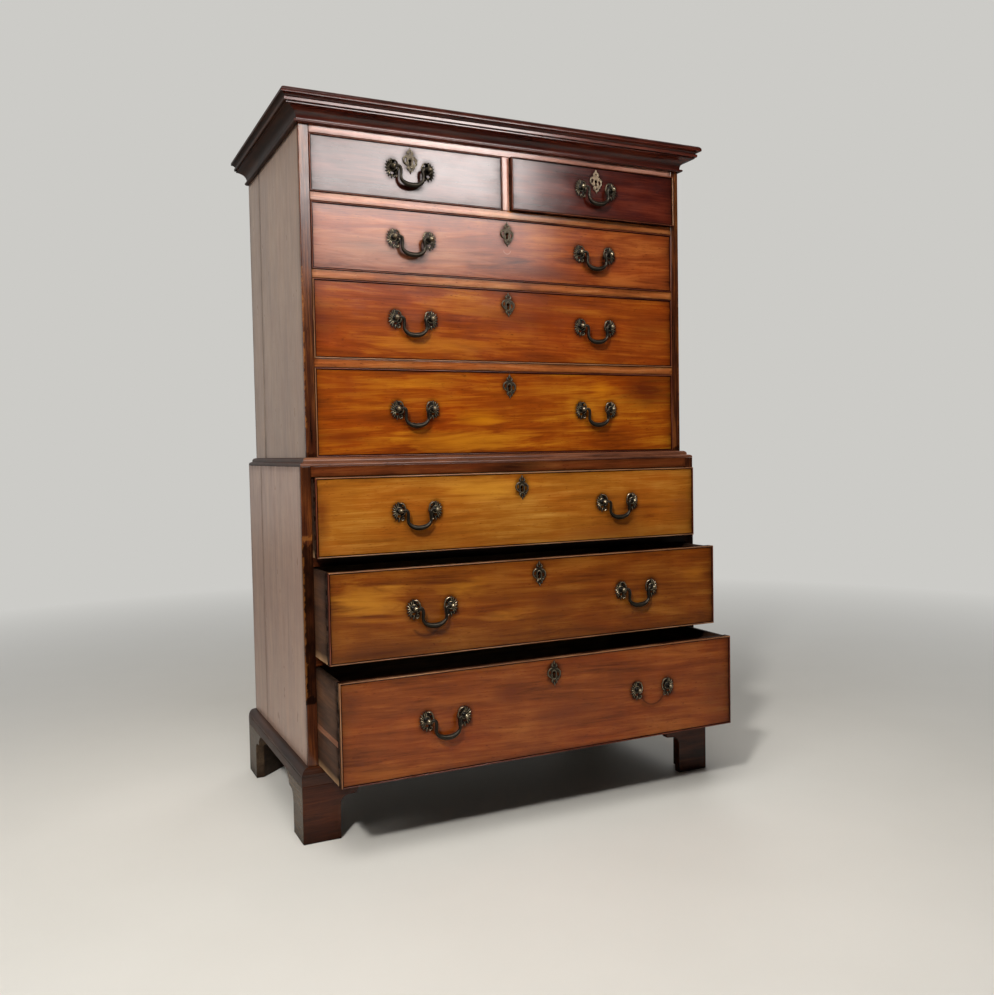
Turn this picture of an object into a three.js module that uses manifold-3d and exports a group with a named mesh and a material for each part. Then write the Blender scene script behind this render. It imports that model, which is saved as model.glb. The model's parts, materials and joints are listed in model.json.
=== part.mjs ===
// A Georgian mahogany chest on chest: three long drawers below, three long and two short above.
// Millimetres, +Z up, the front towards -Y. Places are in the case's frame, where x = 0 is its
// middle, y = 0 the lower chest's front and z = 0 the floor, until the last lines of the file.
import * as THREE from 'three';
import { mergeVertices } from 'three/addons/utils/BufferGeometryUtils.js';
import Module from 'manifold-3d';

const wasm = await Module();
wasm.setup();

// Fits
const seam = 0.3; // between pieces that touch
const drawerSideGap = 0.8; // each end of a drawer front
const drawerFloorGap = 0.4; // under a drawer
const drawerHeadGap = 1.2; // over a drawer
const pinGap = 0.4; // round a bail's pin
const overrun = 5; // how far a cutting shape runs past what it cuts

// Lower chest
const lowerWidth = 1100;
const caseDepth = 588;
const lowerBottomBoard = 18;
const lowerOpenings = [232, 209, 186]; // heights, from the bottom
const lowerRail = 22;
const lowerTopRail = 25;

// Upper chest
const sideSetback = 22; // each side of it in from the lower one's
const upperSetback = 27; // its front behind the lower one's
const upperBottomBoard = 20;
const upperOpenings = [210, 186, 157, 134];
const upperRail = 20;
const frieze = 79; // rail over the short drawers, to the top of the case
const dividerWidth = 19;

// Both carcases
const sideThickness = 24;
const backThickness = 10;
const backInset = 1; // back boards in from the sides' rear edges
const topBoard = 18;
const railDepth = 60;
const dustBoard = 8;
const guideHeight = 20; // runner behind the divider
const stopWidth = 34;
const stopDepth = 9;
const stopHeight = 5;
const stopFromEnd = 150;

// Cornice, waist moulding and plinth
const corniceHeight = 68;
const corniceReach = 47;
const corniceLip = 3; // above the top of the case
const plinthRise = 21; // apron under the base moulding
const plinthReach = 21;
const plinthLedge = 20; // what carries the carcase
const baseMouldingHeight = 18;
const baseMouldingReach = 20;

// Profiles, from the foot of the moulding up, as shares of its reach and height. Two numbers are a corner;
// four are a curve, by its control point and its end.
const corniceProfileShares = [
  [0, 0], [0.06, 0], [0.34, 0.1, 0.15, 0.2], [0.15, 0.235], [0.16, 0.47, 0.66, 0.53], [0.72, 0.53],
  [0.72, 0.59], [0.88, 0.62, 0.93, 0.78], [1, 0.78], [1, 0.84], [0.98, 0.94, 0.77, 1], [0, 1],
];
const waistProfileShares = [
  [0, 0], [1, 0], [1, 0.15], [0.98, 0.4, 0.55, 0.46], [0.55, 0.62], [0.5, 0.98, 0, 1],
];
const baseProfileShares = [[1, 0], [1, 0.3], [0.93, 0.4], [0.8, 0.98, 0.12, 1], [0, 1]];

// Bracket feet
const footHeight = 135; // floor to plinth
const footWidth = 90; // at the floor
const bracketThickness = 22;
const footBlock = 42; // glue block in the corner of a front foot, square
const braceWidth = 18; // diagonal board across the back of a rear foot
const braceReach = 116; // how far the brace runs from the foot's outer side
const blockGap = 3; // rear foot's glue block to its brace
const cuspReach = 68; // along the bracket, from the foot's inner edge to the end of its cusped curve
// Along the cusped curve, and up the foot
const bracketShares = [[0, 0.58], [0.02, 0.73, 0.26, 0.75], [0.59, 0.763], [0.66, 0.93, 1, 0.975]];

// Drawers
const frontThickness = 20;
const beadWidth = 3; // cockbead round a front
const beadReach = 2.5;
const drawerSide = 11;
const drawerBack = 9;
const drawerBottom = 6;
const bottomRaise = 7; // drawer bottom above the sides' lower edges
const sideDrop = 2; // sides below the front's top edge
const backDrop = 9; // back below the sides' top edge
const drawerRearGap = 10; // closed drawer to the back boards
const shortRightPull = 13; // how far the open drawers stand out
const lowerPulls = [185, 118, 34];

// Handles
const postSpacing = 92;
const handleInset = 246; // lower handles in from the ends of their opening
const handleRise = 9; // posts above the middle of a front
const postReach = 21.5;
const ballRadius = 6.2;
const stemRadius = 3;
const pivotReach = 15; // pins out from the drawer's face
const roseWidth = 36;
const roseHeight = 48;
const roseDrop = 3; // middle of a rose below its post
const roseThickness = 2;
const roseLobes = 8;
const lobeShare = 0.1;
// The round head of a post from its neck to near its end, in ball radii out and along
const ballShares = [[0.48, -0.8], [0.9, -0.45], [1, 0], [0.7, 0.72]];
const pinRadius = 2.2;
const pinOvershoot = 1; // pin's end past the middle of the ball
const holeDepth = 9;
const gripRadius = 5.6;
const bailDrop = 41.5;
// Half a bail from its pin to the middle of its grip: along half the spacing, down the drop, and thickness
const bailShares = [
  [0.82, 0, 0], [0.7, 0.03, 0.1], [0.62, -0.07, 0.17], [0.61, -0.34, 0.06], [0.63, -0.6, 0.04],
  [0.55, -0.83, 0.25], [0.33, -0.965, 0.75], [0, -1, 1],
];

// Escutcheons
const plateWidth = 40;
const plateHeight = 62;
const plateThickness = 2;
const plateDrop = 39; // middle of the plate below the top of the drawer's opening
const keyRadius = 3.4;
const keySlot = 3.4;
const keyLength = 13;
// Half the leafy outline from its lower point to its upper one
const plateShares = [[0, -1], [0.3, -0.78], [0.62, -0.52], [1, 0], [0.8, 0.4], [0.42, 0.62], [0, 1]];

// Facets of round pieces and curves
const curveSteps = 4;
const postSides = 8;
const holeSides = 10;
const tubeSides = 8;

// Levels and planes that follow from the sizes
const carcaseBase = footHeight + plinthRise;
const lowerFloor = carcaseBase + lowerBottomBoard;
const upperWidth = lowerWidth - 2 * sideSetback;
const lowerInner = lowerWidth / 2 - sideThickness;
const upperInner = upperWidth / 2 - sideThickness;
const backPlane = caseDepth - backInset - backThickness;

function openingLevels(floor, heights, rail) {
  const levels = [];
  let low = floor;
  for (const height of heights) {
    levels.push({ low, high: low + height });
    low += height + rail;
  }
  return levels;
}

const lowerLevels = openingLevels(lowerFloor, lowerOpenings, lowerRail);
const lowerTop = lowerLevels.at(-1).high + lowerTopRail;
const upperFloor = lowerTop + upperBottomBoard;
const upperLevels = openingLevels(upperFloor, upperOpenings, upperRail);
const upperTop = upperLevels.at(-1).high + frieze;
const corniceFoot = upperTop + corniceLip - corniceHeight;

// Solids

// A closed geometry as a solid: shared corners merged and flat triangles left out
function solid(geometry) {
  const bare = geometry.clone();
  bare.deleteAttribute('normal');
  bare.deleteAttribute('uv');
  const merged = mergeVertices(bare);
  const corners = merged.index.array;
  const kept = [];
  for (let i = 0; i < corners.length; i += 3) {
    const [a, b, c] = corners.slice(i, i + 3);
    if (a !== b && b !== c && c !== a) kept.push(a, b, c);
  }
  const vertProperties = new Float32Array(merged.attributes.position.array);
  const triVerts = new Uint32Array(kept);
  const shape = new wasm.Manifold(new wasm.Mesh({ numProp: 3, vertProperties, triVerts }));
  if (shape.volume() > 0) return shape;
  triVerts.reverse();
  return new wasm.Manifold(new wasm.Mesh({ numProp: 3, vertProperties, triVerts }));
}

function geometryOf(shape) {
  const mesh = shape.getMesh();
  const geometry = new THREE.BufferGeometry();
  geometry.setAttribute('position', new THREE.BufferAttribute(new Float32Array(mesh.vertProperties), 3));
  geometry.setIndex(new THREE.BufferAttribute(new Uint32Array(mesh.triVerts), 1));
  geometry.computeVertexNormals();
  return geometry;
}

function block([x0, x1], [y0, y1], [z0, z1]) {
  const geometry = new THREE.BoxGeometry(x1 - x0, y1 - y0, z1 - z0);
  geometry.translate((x0 + x1) / 2, (y0 + y1) / 2, (z0 + z1) / 2);
  return solid(geometry);
}

const alongX = new THREE.Matrix4().makeBasis(
  new THREE.Vector3(0, 1, 0), new THREE.Vector3(0, 0, 1), new THREE.Vector3(1, 0, 0));
const alongY = new THREE.Matrix4().makeBasis(
  new THREE.Vector3(1, 0, 0), new THREE.Vector3(0, 0, 1), new THREE.Vector3(0, -1, 0));

// An outline in the plane across an axis, pulled along that axis from one place to another
function prism(outline, axis, from, to) {
  const shape = new THREE.Shape(outline.map(([u, v]) => new THREE.Vector2(u, v)));
  const geometry = new THREE.ExtrudeGeometry(shape, { depth: to - from, bevelEnabled: false });
  if (axis === 'x') {
    geometry.applyMatrix4(alongX);
    geometry.translate(from, 0, 0);
  }
  if (axis === 'y') {
    geometry.applyMatrix4(alongY);
    geometry.translate(0, to, 0);
  }
  if (axis === 'z') geometry.translate(0, 0, from);
  return solid(geometry);
}

// Rings of points joined into a closed skin, with flat ends
function skin(rings, ends) {
  const count = rings[0].length;
  const positions = rings.flat().flatMap((point) => point.toArray());
  const faces = [];
  for (let r = 0; r + 1 < rings.length; r += 1) {
    for (let i = 0; i < count; i += 1) {
      const a = r * count + i;
      const b = r * count + (i + 1) % count;
      faces.push(a, b, b + count, a, b + count, a + count);
    }
  }
  const last = (rings.length - 1) * count;
  for (const [a, b, c] of ends) {
    faces.push(c, b, a, a + last, b + last, c + last);
  }
  const geometry = new THREE.BufferGeometry();
  geometry.setAttribute('position', new THREE.BufferAttribute(new Float32Array(positions), 3));
  geometry.setIndex(faces);
  return solid(geometry);
}

// A moulding between two corners. Each end gives the plan point where the profile's own zero stands, and
// how far the profile's reach of one carries it along x and y, which makes a mitre or a square end.
function moulding(profile, start, finish) {
  const ring = ({ at, reach }) => profile.map(
    ([out, up]) => new THREE.Vector3(at[0] + out * reach[0], at[1] + out * reach[1], up));
  const ends = THREE.ShapeUtils.triangulateShape(profile.map(([out, up]) => new THREE.Vector2(out, up)), []);
  return skin([ring(start), ring(finish)], ends);
}

// Front, left and right lengths of a moulding that wraps a case of a given half width and front plane
function wrappedMoulding(profile, halfWidth, front, sideReach, frontReach) {
  const mitre = seam / 2;
  const inner = halfWidth + seam;
  const face = front - seam;
  const bar = {};
  bar.front = moulding(profile,
    { at: [-inner + mitre, face], reach: [-sideReach, -frontReach] },
    { at: [inner - mitre, face], reach: [sideReach, -frontReach] });
  bar.left = moulding(profile,
    { at: [-inner, face + mitre], reach: [-sideReach, -frontReach] },
    { at: [-inner, caseDepth], reach: [-sideReach, 0] });
  bar.right = moulding(profile,
    { at: [inner, face + mitre], reach: [sideReach, -frontReach] },
    { at: [inner, caseDepth], reach: [sideReach, 0] });
  return bar;
}

// The points of a profile whose steps are corners and curves
function profilePoints(shares) {
  const path = new THREE.Path();
  path.moveTo(...shares[0]);
  for (const step of shares.slice(1)) {
    if (step.length > 2) path.quadraticCurveTo(...step);
    else path.lineTo(...step);
  }
  return path.getPoints(curveSteps).map(({ x, y }) => [x, y]);
}

function placedProfile(shares, foot, height) {
  return profilePoints(shares).map(([out, up]) => [out, foot + up * height]);
}

// Boards of the carcases

function sideBoard(side, width, front, low, high) {
  const outer = side * width / 2;
  const inner = side * (width / 2 - sideThickness);
  return block([Math.min(outer, inner), Math.max(outer, inner)], [front, caseDepth], [low, high]);
}

function between(inner) {
  return [-inner + seam, inner - seam];
}

// A rail with its dust board behind, flush on top, and the two stops that a drawer's front comes to rest on
function railWithDustBoard(inner, front, top, thickness) {
  const rear = backPlane - seam;
  const outline = [
    [front, top - thickness], [front + railDepth, top - thickness], [front + railDepth, top - dustBoard],
    [rear, top - dustBoard], [rear, top], [front, top],
  ];
  const rail = prism(outline, 'x', ...between(inner));
  return rail.add(stops(inner, front, top));
}

function stops(inner, front, top) {
  const near = front + frontThickness + seam;
  const places = [-inner + stopFromEnd, inner - stopFromEnd];
  const [left, right] = places.map((x) => block(
    [x - stopWidth / 2, x + stopWidth / 2], [near, near + stopDepth], [top - seam, top + stopHeight]));
  return left.add(right);
}

function bottomBoard(inner, front, low, high) {
  return block(between(inner), [front, backPlane - seam], [low, high]).add(stops(inner, front, high));
}

function divider() {
  const { low, high } = upperLevels.at(-1);
  const base = low + seam;
  const outline = [
    [upperSetback, base], [backPlane - seam, base], [backPlane - seam, base + guideHeight],
    [upperSetback + railDepth, base + guideHeight], [upperSetback + railDepth, high - seam],
    [upperSetback, high - seam],
  ];
  return prism(outline, 'x', -dividerWidth / 2, dividerWidth / 2);
}

// Plinth: an apron with a ledge that carries the carcase, and the base moulding on its outer edge
function plinthProfile() {
  const ledge = -plinthLedge / plinthReach;
  const nose = baseMouldingReach / plinthReach;
  const top = carcaseBase - seam;
  const moulded = placedProfile(baseProfileShares, carcaseBase, baseMouldingHeight);
  const placed = moulded.map(([out, up]) => [out * nose, up]);
  return [[ledge, footHeight], [1, footHeight], [1, top], ...placed, [0, top], [ledge, top]];
}

// Feet

function bracketOutline() {
  const top = footHeight - seam;
  const end = footWidth + cuspReach;
  const cusped = placedProfile(bracketShares, 0, footHeight);
  const curve = cusped.map(([along, up]) => [footWidth + along * cuspReach, up]);
  return [[0, 0], [footWidth, 0], ...curve, [end, top], [0, top]];
}

// One foot at a corner of the plinth. sideX is -1 or 1, and front tells a front foot from a rear one.
function bracketFoot(sideX, front) {
  const outerX = lowerWidth / 2 + seam + plinthReach;
  const outerY = front ? -seam - plinthReach : caseDepth;
  const inward = front ? 1 : -1;
  const innerX = outerX - bracketThickness;
  const innerY = outerY + inward * bracketThickness;
  const sideOutline = bracketOutline().map(([along, up]) => [outerY + inward * along, up]);
  const sideBracket = prism(sideOutline, 'x', ...span(sideX * outerX, sideX * innerX));
  const blockEnd = front ? innerY + footBlock : outerY - rearBlock();
  const blockX = span(sideX * (innerX + seam), sideX * (innerX - (front ? footBlock : rearBlock())));
  const foot = sideBracket.add(block(blockX, span(outerY + inward * seam, blockEnd), [0, footHeight - seam]));
  if (!front) return foot.add(diagonalBrace(sideX, innerX, outerY));
  const frontOutline = bracketOutline().map(([along, up]) => [sideX * (outerX - along), up]);
  return foot.add(prism(frontOutline, 'y', outerY, innerY));
}

// How far a rear foot's brace runs along x, from inside the bracket to the back of the case
function braceRun() {
  return braceReach - bracketThickness + seam;
}

// The side of the largest square block that fits the rear corner clear of the brace
function rearBlock() {
  const slant = Math.hypot(braceRun(), footWidth);
  const alongBracket = footWidth - braceWidth * slant / braceRun();
  const alongBack = braceRun() - braceWidth * slant / footWidth;
  return alongBracket * alongBack / (alongBracket + alongBack) - blockGap;
}

// The plain board across the back of a rear foot, from the bracket's front edge to the back of the case
function diagonalBrace(sideX, innerX, rear) {
  const near = rear - footWidth;
  const root = innerX + seam;
  const far = root - braceRun();
  const slant = Math.hypot(braceRun(), footWidth);
  const outline = [
    [root, near], [root, near + braceWidth * slant / braceRun()],
    [far + braceWidth * slant / footWidth, rear], [far, rear],
  ];
  return prism(outline.map(([x, y]) => [sideX * x, y]), 'z', 0, footHeight - seam);
}

function span(a, b) {
  return [Math.min(a, b), Math.max(a, b)];
}

// Drawers. In a drawer's own frame y = 0 is the face of its front, inside the cockbead.

// A post from the face to its round head, with a blind hole for the bail's pin on the side given
function post(x, z, holeSide) {
  const round = ballShares.map(([r, h]) => [r * ballRadius, pivotReach + h * ballRadius]);
  const profile = [[0, -seam], [stemRadius, -seam], ...round, [0, postReach]];
  const geometry = new THREE.LatheGeometry(profile.map(([r, h]) => new THREE.Vector2(r, h)), postSides);
  geometry.rotateX(Math.PI);
  geometry.translate(x, 0, z);
  const holeRadius = (pinRadius + pinGap) / Math.cos(Math.PI / holeSides);
  const hole = new THREE.CylinderGeometry(holeRadius, holeRadius, holeDepth + overrun, holeSides);
  hole.rotateZ(Math.PI / 2);
  const bottom = x - holeSide * (pinOvershoot + pinGap);
  hole.translate(bottom + holeSide * (holeDepth + overrun) / 2, -pivotReach, z);
  return solid(geometry).subtract(solid(hole));
}

function rose(x, z) {
  const outline = [];
  for (let i = 0; i < 2 * roseLobes; i += 1) {
    const angle = Math.PI * i / roseLobes;
    const out = 1 - lobeShare * (i % 2);
    const across = Math.cos(angle) * out * roseWidth / 2;
    const up = Math.sin(angle) * out * roseHeight / 2;
    outline.push([x + across, z - roseDrop + up]);
  }
  return prism(outline, 'y', -roseThickness, seam);
}

function escutcheon(x, z) {
  const half = (shares, side) => shares.map(
    ([out, up]) => [x + side * out * plateWidth / 2, z + up * plateHeight / 2]);
  const outline = [...half(plateShares, 1), ...half(plateShares.slice(1, -1).reverse(), -1)];
  return prism(outline, 'y', -plateThickness, seam);
}

// The keyhole goes through the plate and the front: a round top and a slot below it
function keyhole(x, z) {
  const through = [-plateThickness - overrun, frontThickness + overrun];
  const eye = new THREE.CylinderGeometry(keyRadius, keyRadius, through[1] - through[0], postSides);
  eye.translate(x, (through[0] + through[1]) / 2, z);
  const slot = block([x - keySlot / 2, x + keySlot / 2], through, [z - keyLength + keyRadius, z]);
  return solid(eye).add(slot);
}

// A front board with its cockbead, and the brass that stays fixed to it
function drawerFront({ x, z, handles, plate }) {
  const board = block(x, [-beadReach, frontThickness], z);
  const withinBead = ([low, high]) => [low + beadWidth, high - beadWidth];
  const field = block(withinBead(x), [-beadReach - overrun, 0], withinBead(z));
  let front = board.subtract(field);
  for (const handle of handles) {
    for (const side of [-1, 1]) {
      const postX = handle.x + side * postSpacing / 2;
      front = front.add(rose(postX, handle.z)).add(post(postX, handle.z, -side));
    }
  }
  return front.add(escutcheon(plate.x, plate.z)).subtract(keyhole(plate.x, plate.z));
}

// Sides, back and bottom, dovetailed and grooved together; the bottom is held up off the dust board
function drawerBox({ x, z, depth }) {
  const near = frontThickness + seam;
  const top = z[1] - sideDrop;
  const inner = [x[0] + drawerSide, x[1] - drawerSide];
  const floor = z[0] + bottomRaise + drawerBottom;
  const whole = block(x, [near, depth], [z[0], top]);
  const inside = block(inner, [near - overrun, depth - drawerBack], [floor, top + overrun]);
  const below = block(inner, [near - overrun, depth + overrun], [z[0] - overrun, z[0] + bottomRaise]);
  const throughBack = [depth - drawerBack - overrun, depth + overrun];
  const overBack = block(inner, throughBack, [top - backDrop, top + overrun]);
  return whole.subtract(inside).subtract(below).subtract(overBack);
}

// A swan-neck bail about its pivot, swelling to the grip
function bail() {
  const half = bailShares.map(([along, up, thick]) => ({
    x: along * postSpacing / 2, z: up * bailDrop, radius: pinRadius + thick * (gripRadius - pinRadius),
  }));
  half.unshift({ x: postSpacing / 2 + pinOvershoot, z: 0, radius: pinRadius });
  const path = [...half, ...half.slice(0, -1).reverse().map((point) => ({ ...point, x: -point.x }))];
  const rings = path.map((point, i) => {
    const before = path[Math.max(i - 1, 0)];
    const after = path[Math.min(i + 1, path.length - 1)];
    const tangent = new THREE.Vector3(after.x - before.x, 0, after.z - before.z).normalize();
    const inPlane = new THREE.Vector3(-tangent.z, 0, tangent.x);
    const ring = [];
    for (let k = 0; k < tubeSides; k += 1) {
      const angle = 2 * Math.PI * k / tubeSides;
      const corner = inPlane.clone().multiplyScalar(point.radius * Math.cos(angle));
      corner.y = point.radius * Math.sin(angle);
      ring.push(corner.add(new THREE.Vector3(point.x, 0, point.z)));
    }
    return ring;
  });
  const ends = [];
  for (let k = 1; k + 1 < tubeSides; k += 1) ends.push([0, k, k + 1]);
  return skin(rings, ends);
}

// Colours and finishes

const mahoganySide = { color: '#6f4a36', roughness: 0.42 };
const mahoganyDark = { color: '#3b1d14', roughness: 0.38 };
const mahoganyRail = { color: '#5a2716', roughness: 0.4 };
const mahoganyRed = { color: '#5b2418', roughness: 0.34 };
const mahoganyBrown = { color: '#8a4a26', roughness: 0.36 };
const mahoganyWarm = { color: '#a25c28', roughness: 0.36 };
const mahoganyGold = { color: '#b37a37', roughness: 0.38 };
const oak = { color: '#8b6f4e', roughness: 0.7 };
const pine = { color: '#9a7b54', roughness: 0.8 };
const brass = { color: '#4a4230', roughness: 0.42, metalness: 0.9 };

function piece(name, shape, finish) {
  const material = new THREE.MeshStandardMaterial({
    color: finish.color, roughness: finish.roughness, metalness: finish.metalness ?? 0,
  });
  const mesh = new THREE.Mesh(geometryOf(shape), material);
  mesh.name = name;
  return mesh;
}

// Assembly

function lowerChest() {
  const group = new THREE.Group();
  const top = lowerTop - seam;
  const rear = backPlane - seam;
  const rail = [lowerTop - lowerTopRail, top];
  const behindRail = [railDepth + seam, rear];
  group.add(
    piece('lower_side_left', sideBoard(-1, lowerWidth, 0, carcaseBase, lowerTop), mahoganySide),
    piece('lower_side_right', sideBoard(1, lowerWidth, 0, carcaseBase, lowerTop), mahoganySide),
    piece('lower_bottom_board', bottomBoard(lowerInner, 0, carcaseBase, lowerFloor), mahoganyRail),
    piece('lower_top_rail', block(between(lowerInner), [0, railDepth], rail), mahoganyRail),
    piece('lower_top_board', block(between(lowerInner), behindRail, [top - topBoard, top]), pine),
    piece('lower_back', backBoard(lowerInner, carcaseBase, top), pine),
  );
  lowerLevels.slice(1).forEach((level, i) => {
    const shape = railWithDustBoard(lowerInner, 0, level.low, lowerRail);
    group.add(piece(`lower_rail_${i + 1}`, shape, mahoganyRail));
  });
  const plinth = wrappedMoulding(plinthProfile(), lowerWidth / 2, 0, plinthReach, plinthReach);
  for (const [where, shape] of Object.entries(plinth)) {
    group.add(piece(`base_moulding_${where}`, shape, mahoganyDark));
  }
  for (const [where, sideX] of [['left', -1], ['right', 1]]) {
    group.add(piece(`foot_front_${where}`, bracketFoot(sideX, true), mahoganyDark));
    group.add(piece(`foot_back_${where}`, bracketFoot(sideX, false), mahoganyDark));
  }
  return group;
}

function backBoard(inner, low, high) {
  return block(between(inner), [backPlane, backPlane + backThickness], [low, high]);
}

function upperChest() {
  const group = new THREE.Group();
  const base = lowerTop + seam;
  const front = upperSetback;
  const behindRail = [front + frontThickness + seam, backPlane - seam];
  const railFaces = [front, front + frontThickness];
  const friezeRail = block(between(upperInner), railFaces, [upperTop - frieze, upperTop]);
  group.add(
    piece('upper_side_left', sideBoard(-1, upperWidth, front, base, upperTop), mahoganySide),
    piece('upper_side_right', sideBoard(1, upperWidth, front, base, upperTop), mahoganySide),
    piece('upper_bottom_board', bottomBoard(upperInner, front, base, upperFloor), mahoganyRail),
    piece('upper_top_rail', friezeRail, mahoganyRail),
    piece('upper_top_board', block(between(upperInner), behindRail, [upperTop - topBoard, upperTop]), pine),
    piece('upper_back', backBoard(upperInner, base, upperTop), pine),
    piece('short_drawer_divider', divider(), mahoganyRail),
  );
  upperLevels.slice(1).forEach((level, i) => {
    const shape = railWithDustBoard(upperInner, front, level.low, upperRail);
    group.add(piece(`upper_rail_${i + 1}`, shape, mahoganyRail));
  });
  const waist = wrappedMoulding(
    placedProfile(waistProfileShares, base, upperFloor - base), upperWidth / 2, front,
    sideSetback - seam, upperSetback - seam);
  for (const [where, shape] of Object.entries(waist)) {
    group.add(piece(`waist_moulding_${where}`, shape, mahoganyDark));
  }
  const cornice = wrappedMoulding(
    placedProfile(corniceProfileShares, corniceFoot, corniceHeight), upperWidth / 2, front,
    corniceReach, corniceReach);
  for (const [where, shape] of Object.entries(cornice)) {
    group.add(piece(`cornice_${where}`, shape, mahoganyDark));
  }
  return group;
}

// Every drawer: the opening it fills, how far it stands out, where its handles are and which bails it has
function drawerList() {
  const shortLevel = upperLevels.at(-1);
  const shortX = (upperInner + dividerWidth / 2) / 2;
  const lowerX = lowerInner - handleInset;
  const bothBails = ['left', 'right'];
  const upper = (name, level, finish) => ({
    name, level, finish, opening: [-upperInner, upperInner], front: upperSetback, pull: 0,
    handleX: [-shortX, shortX], bails: bothBails,
  });
  const lower = (name, i, finish, bails) => ({
    name, level: lowerLevels[i], finish, opening: [-lowerInner, lowerInner], front: 0, pull: lowerPulls[i],
    handleX: [-lowerX, lowerX], bails,
  });
  const short = (name, side, finish, pull) => ({
    name, level: shortLevel, finish, opening: span(side * dividerWidth / 2, side * upperInner),
    front: upperSetback, pull, handleX: [side * shortX], bails: [''],
  });
  return [
    short('short_drawer_left', -1, mahoganyRed, 0),
    short('short_drawer_right', 1, mahoganyRed, shortRightPull),
    upper('upper_drawer_1', upperLevels[2], mahoganyBrown),
    upper('upper_drawer_2', upperLevels[1], mahoganyWarm),
    upper('upper_drawer_3', upperLevels[0], mahoganyWarm),
    lower('lower_drawer_1', 2, mahoganyGold, bothBails),
    lower('lower_drawer_2', 1, mahoganyWarm, bothBails),
    lower('lower_drawer_3', 0, mahoganyBrown, ['left']),
  ];
}

function drawer({ name, level, finish, opening, front, pull, handleX, bails }) {
  const group = new THREE.Group();
  const x = [opening[0] + drawerSideGap, opening[1] - drawerSideGap];
  const z = [level.low + drawerFloorGap, level.high - drawerHeadGap];
  const handleZ = (z[0] + z[1]) / 2 + handleRise;
  const handles = handleX.map((place) => ({ x: place, z: handleZ }));
  const plate = { x: (handleX[0] + handleX.at(-1)) / 2, z: level.high - plateDrop };
  const depth = backPlane - front - drawerRearGap;
  group.add(piece(`${name}_front`, drawerFront({ x, z, handles, plate }), finish));
  group.add(piece(`${name}_box`, drawerBox({ x, z, depth }), oak));
  bails.forEach((where, i) => {
    const mesh = piece([name, 'bail', where].filter(Boolean).join('_'), bail(), brass);
    mesh.position.set(handles[i].x, -pivotReach, handleZ);
    group.add(mesh);
  });
  group.position.y = front - pull;
  return group;
}

const drawers = drawerList();
const group = new THREE.Group();
group.add(lowerChest(), upperChest(), ...drawers.map(drawer));

// The origin goes under the middle of the whole object as it stands, open drawers and handles included
const foremost = postReach + Math.max(...drawers.map(({ front, pull }) => pull - front));
group.position.y = (foremost - caseDepth) / 2;

export default group;
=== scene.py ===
import json
import math
import random

import bmesh
import bpy
import numpy as np
from mathutils import Matrix, Vector, noise


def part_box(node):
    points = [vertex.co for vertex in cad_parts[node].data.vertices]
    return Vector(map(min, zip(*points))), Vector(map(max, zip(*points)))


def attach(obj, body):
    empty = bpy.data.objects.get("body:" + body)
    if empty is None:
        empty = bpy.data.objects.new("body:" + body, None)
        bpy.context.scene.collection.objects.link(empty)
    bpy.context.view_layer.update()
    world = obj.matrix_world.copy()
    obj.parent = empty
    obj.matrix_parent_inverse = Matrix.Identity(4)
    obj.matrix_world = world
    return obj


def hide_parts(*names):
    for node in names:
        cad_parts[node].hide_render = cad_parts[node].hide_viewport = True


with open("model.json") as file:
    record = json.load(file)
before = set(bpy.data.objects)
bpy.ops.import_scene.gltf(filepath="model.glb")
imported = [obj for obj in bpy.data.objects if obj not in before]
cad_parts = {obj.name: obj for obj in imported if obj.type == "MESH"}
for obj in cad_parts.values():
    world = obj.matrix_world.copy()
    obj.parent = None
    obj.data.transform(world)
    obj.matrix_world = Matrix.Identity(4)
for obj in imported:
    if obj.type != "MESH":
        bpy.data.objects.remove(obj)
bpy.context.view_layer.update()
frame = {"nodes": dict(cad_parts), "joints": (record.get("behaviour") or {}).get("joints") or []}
mm = 0.001  # sizes and places below are in millimetres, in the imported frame


def nodeBox(node):
    low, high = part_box(node)
    return np.array(low) / mm, np.array(high) / mm


# Materials

def linear(colour):
    values = [int(colour[i:i + 2], 16) / 255 for i in (1, 3, 5)]
    return tuple(v / 12.92 if v <= 0.04045 else ((v + 0.055) / 1.055) ** 2.4 for v in values) + (1,)


multiply = {"operation": "MULTIPLY"}
multiplyClamped = {"operation": "MULTIPLY", "use_clamp": True}
multiplyAdd = {"operation": "MULTIPLY_ADD"}
multiplyAddClamped = {"operation": "MULTIPLY_ADD", "use_clamp": True}
mixColours = {"data_type": "RGBA"}


# Adds a node, sets its properties, and links or sets its inputs. A node given as an input lends its first
# output, and "stops" fills a colour ramp.
def addNode(tree, kind, settings=None, links=None):
    node = tree.nodes.new(f"ShaderNode{kind}")
    for key, value in (settings or {}).items():
        if key == "stops":
            elements = node.color_ramp.elements
            while len(elements) < len(value):
                elements.new(0.5)
            for element, (position, colour) in zip(elements, value):
                element.position = position
                element.color = linear(colour)
        else:
            setattr(node, key, value)
    for key, value in (links or {}).items():
        if isinstance(value, bpy.types.Node):
            value = value.outputs[0]
        if isinstance(value, bpy.types.NodeSocket):
            tree.links.new(value, node.inputs[key])
        else:
            node.inputs[key].default_value = value
    return node


def newMaterial(name):
    material = bpy.data.materials.new(name)
    material.use_nodes = True
    material.node_tree.nodes.clear()
    return material, material.node_tree


# Noise that is long along the grain and short across it, both in millimetres
def grainPattern(tree, place, along, across, detail=2.0, rough=0.5, distortion=0.0):
    stretched = addNode(tree, "Mapping", {}, {"Vector": place, "Scale": (1 / along, 1 / across, 1 / across)})
    return addNode(tree, "TexNoise", {}, {
        "Vector": stretched, "Scale": 1.0, "Detail": detail, "Roughness": rough, "Distortion": distortion})


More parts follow.
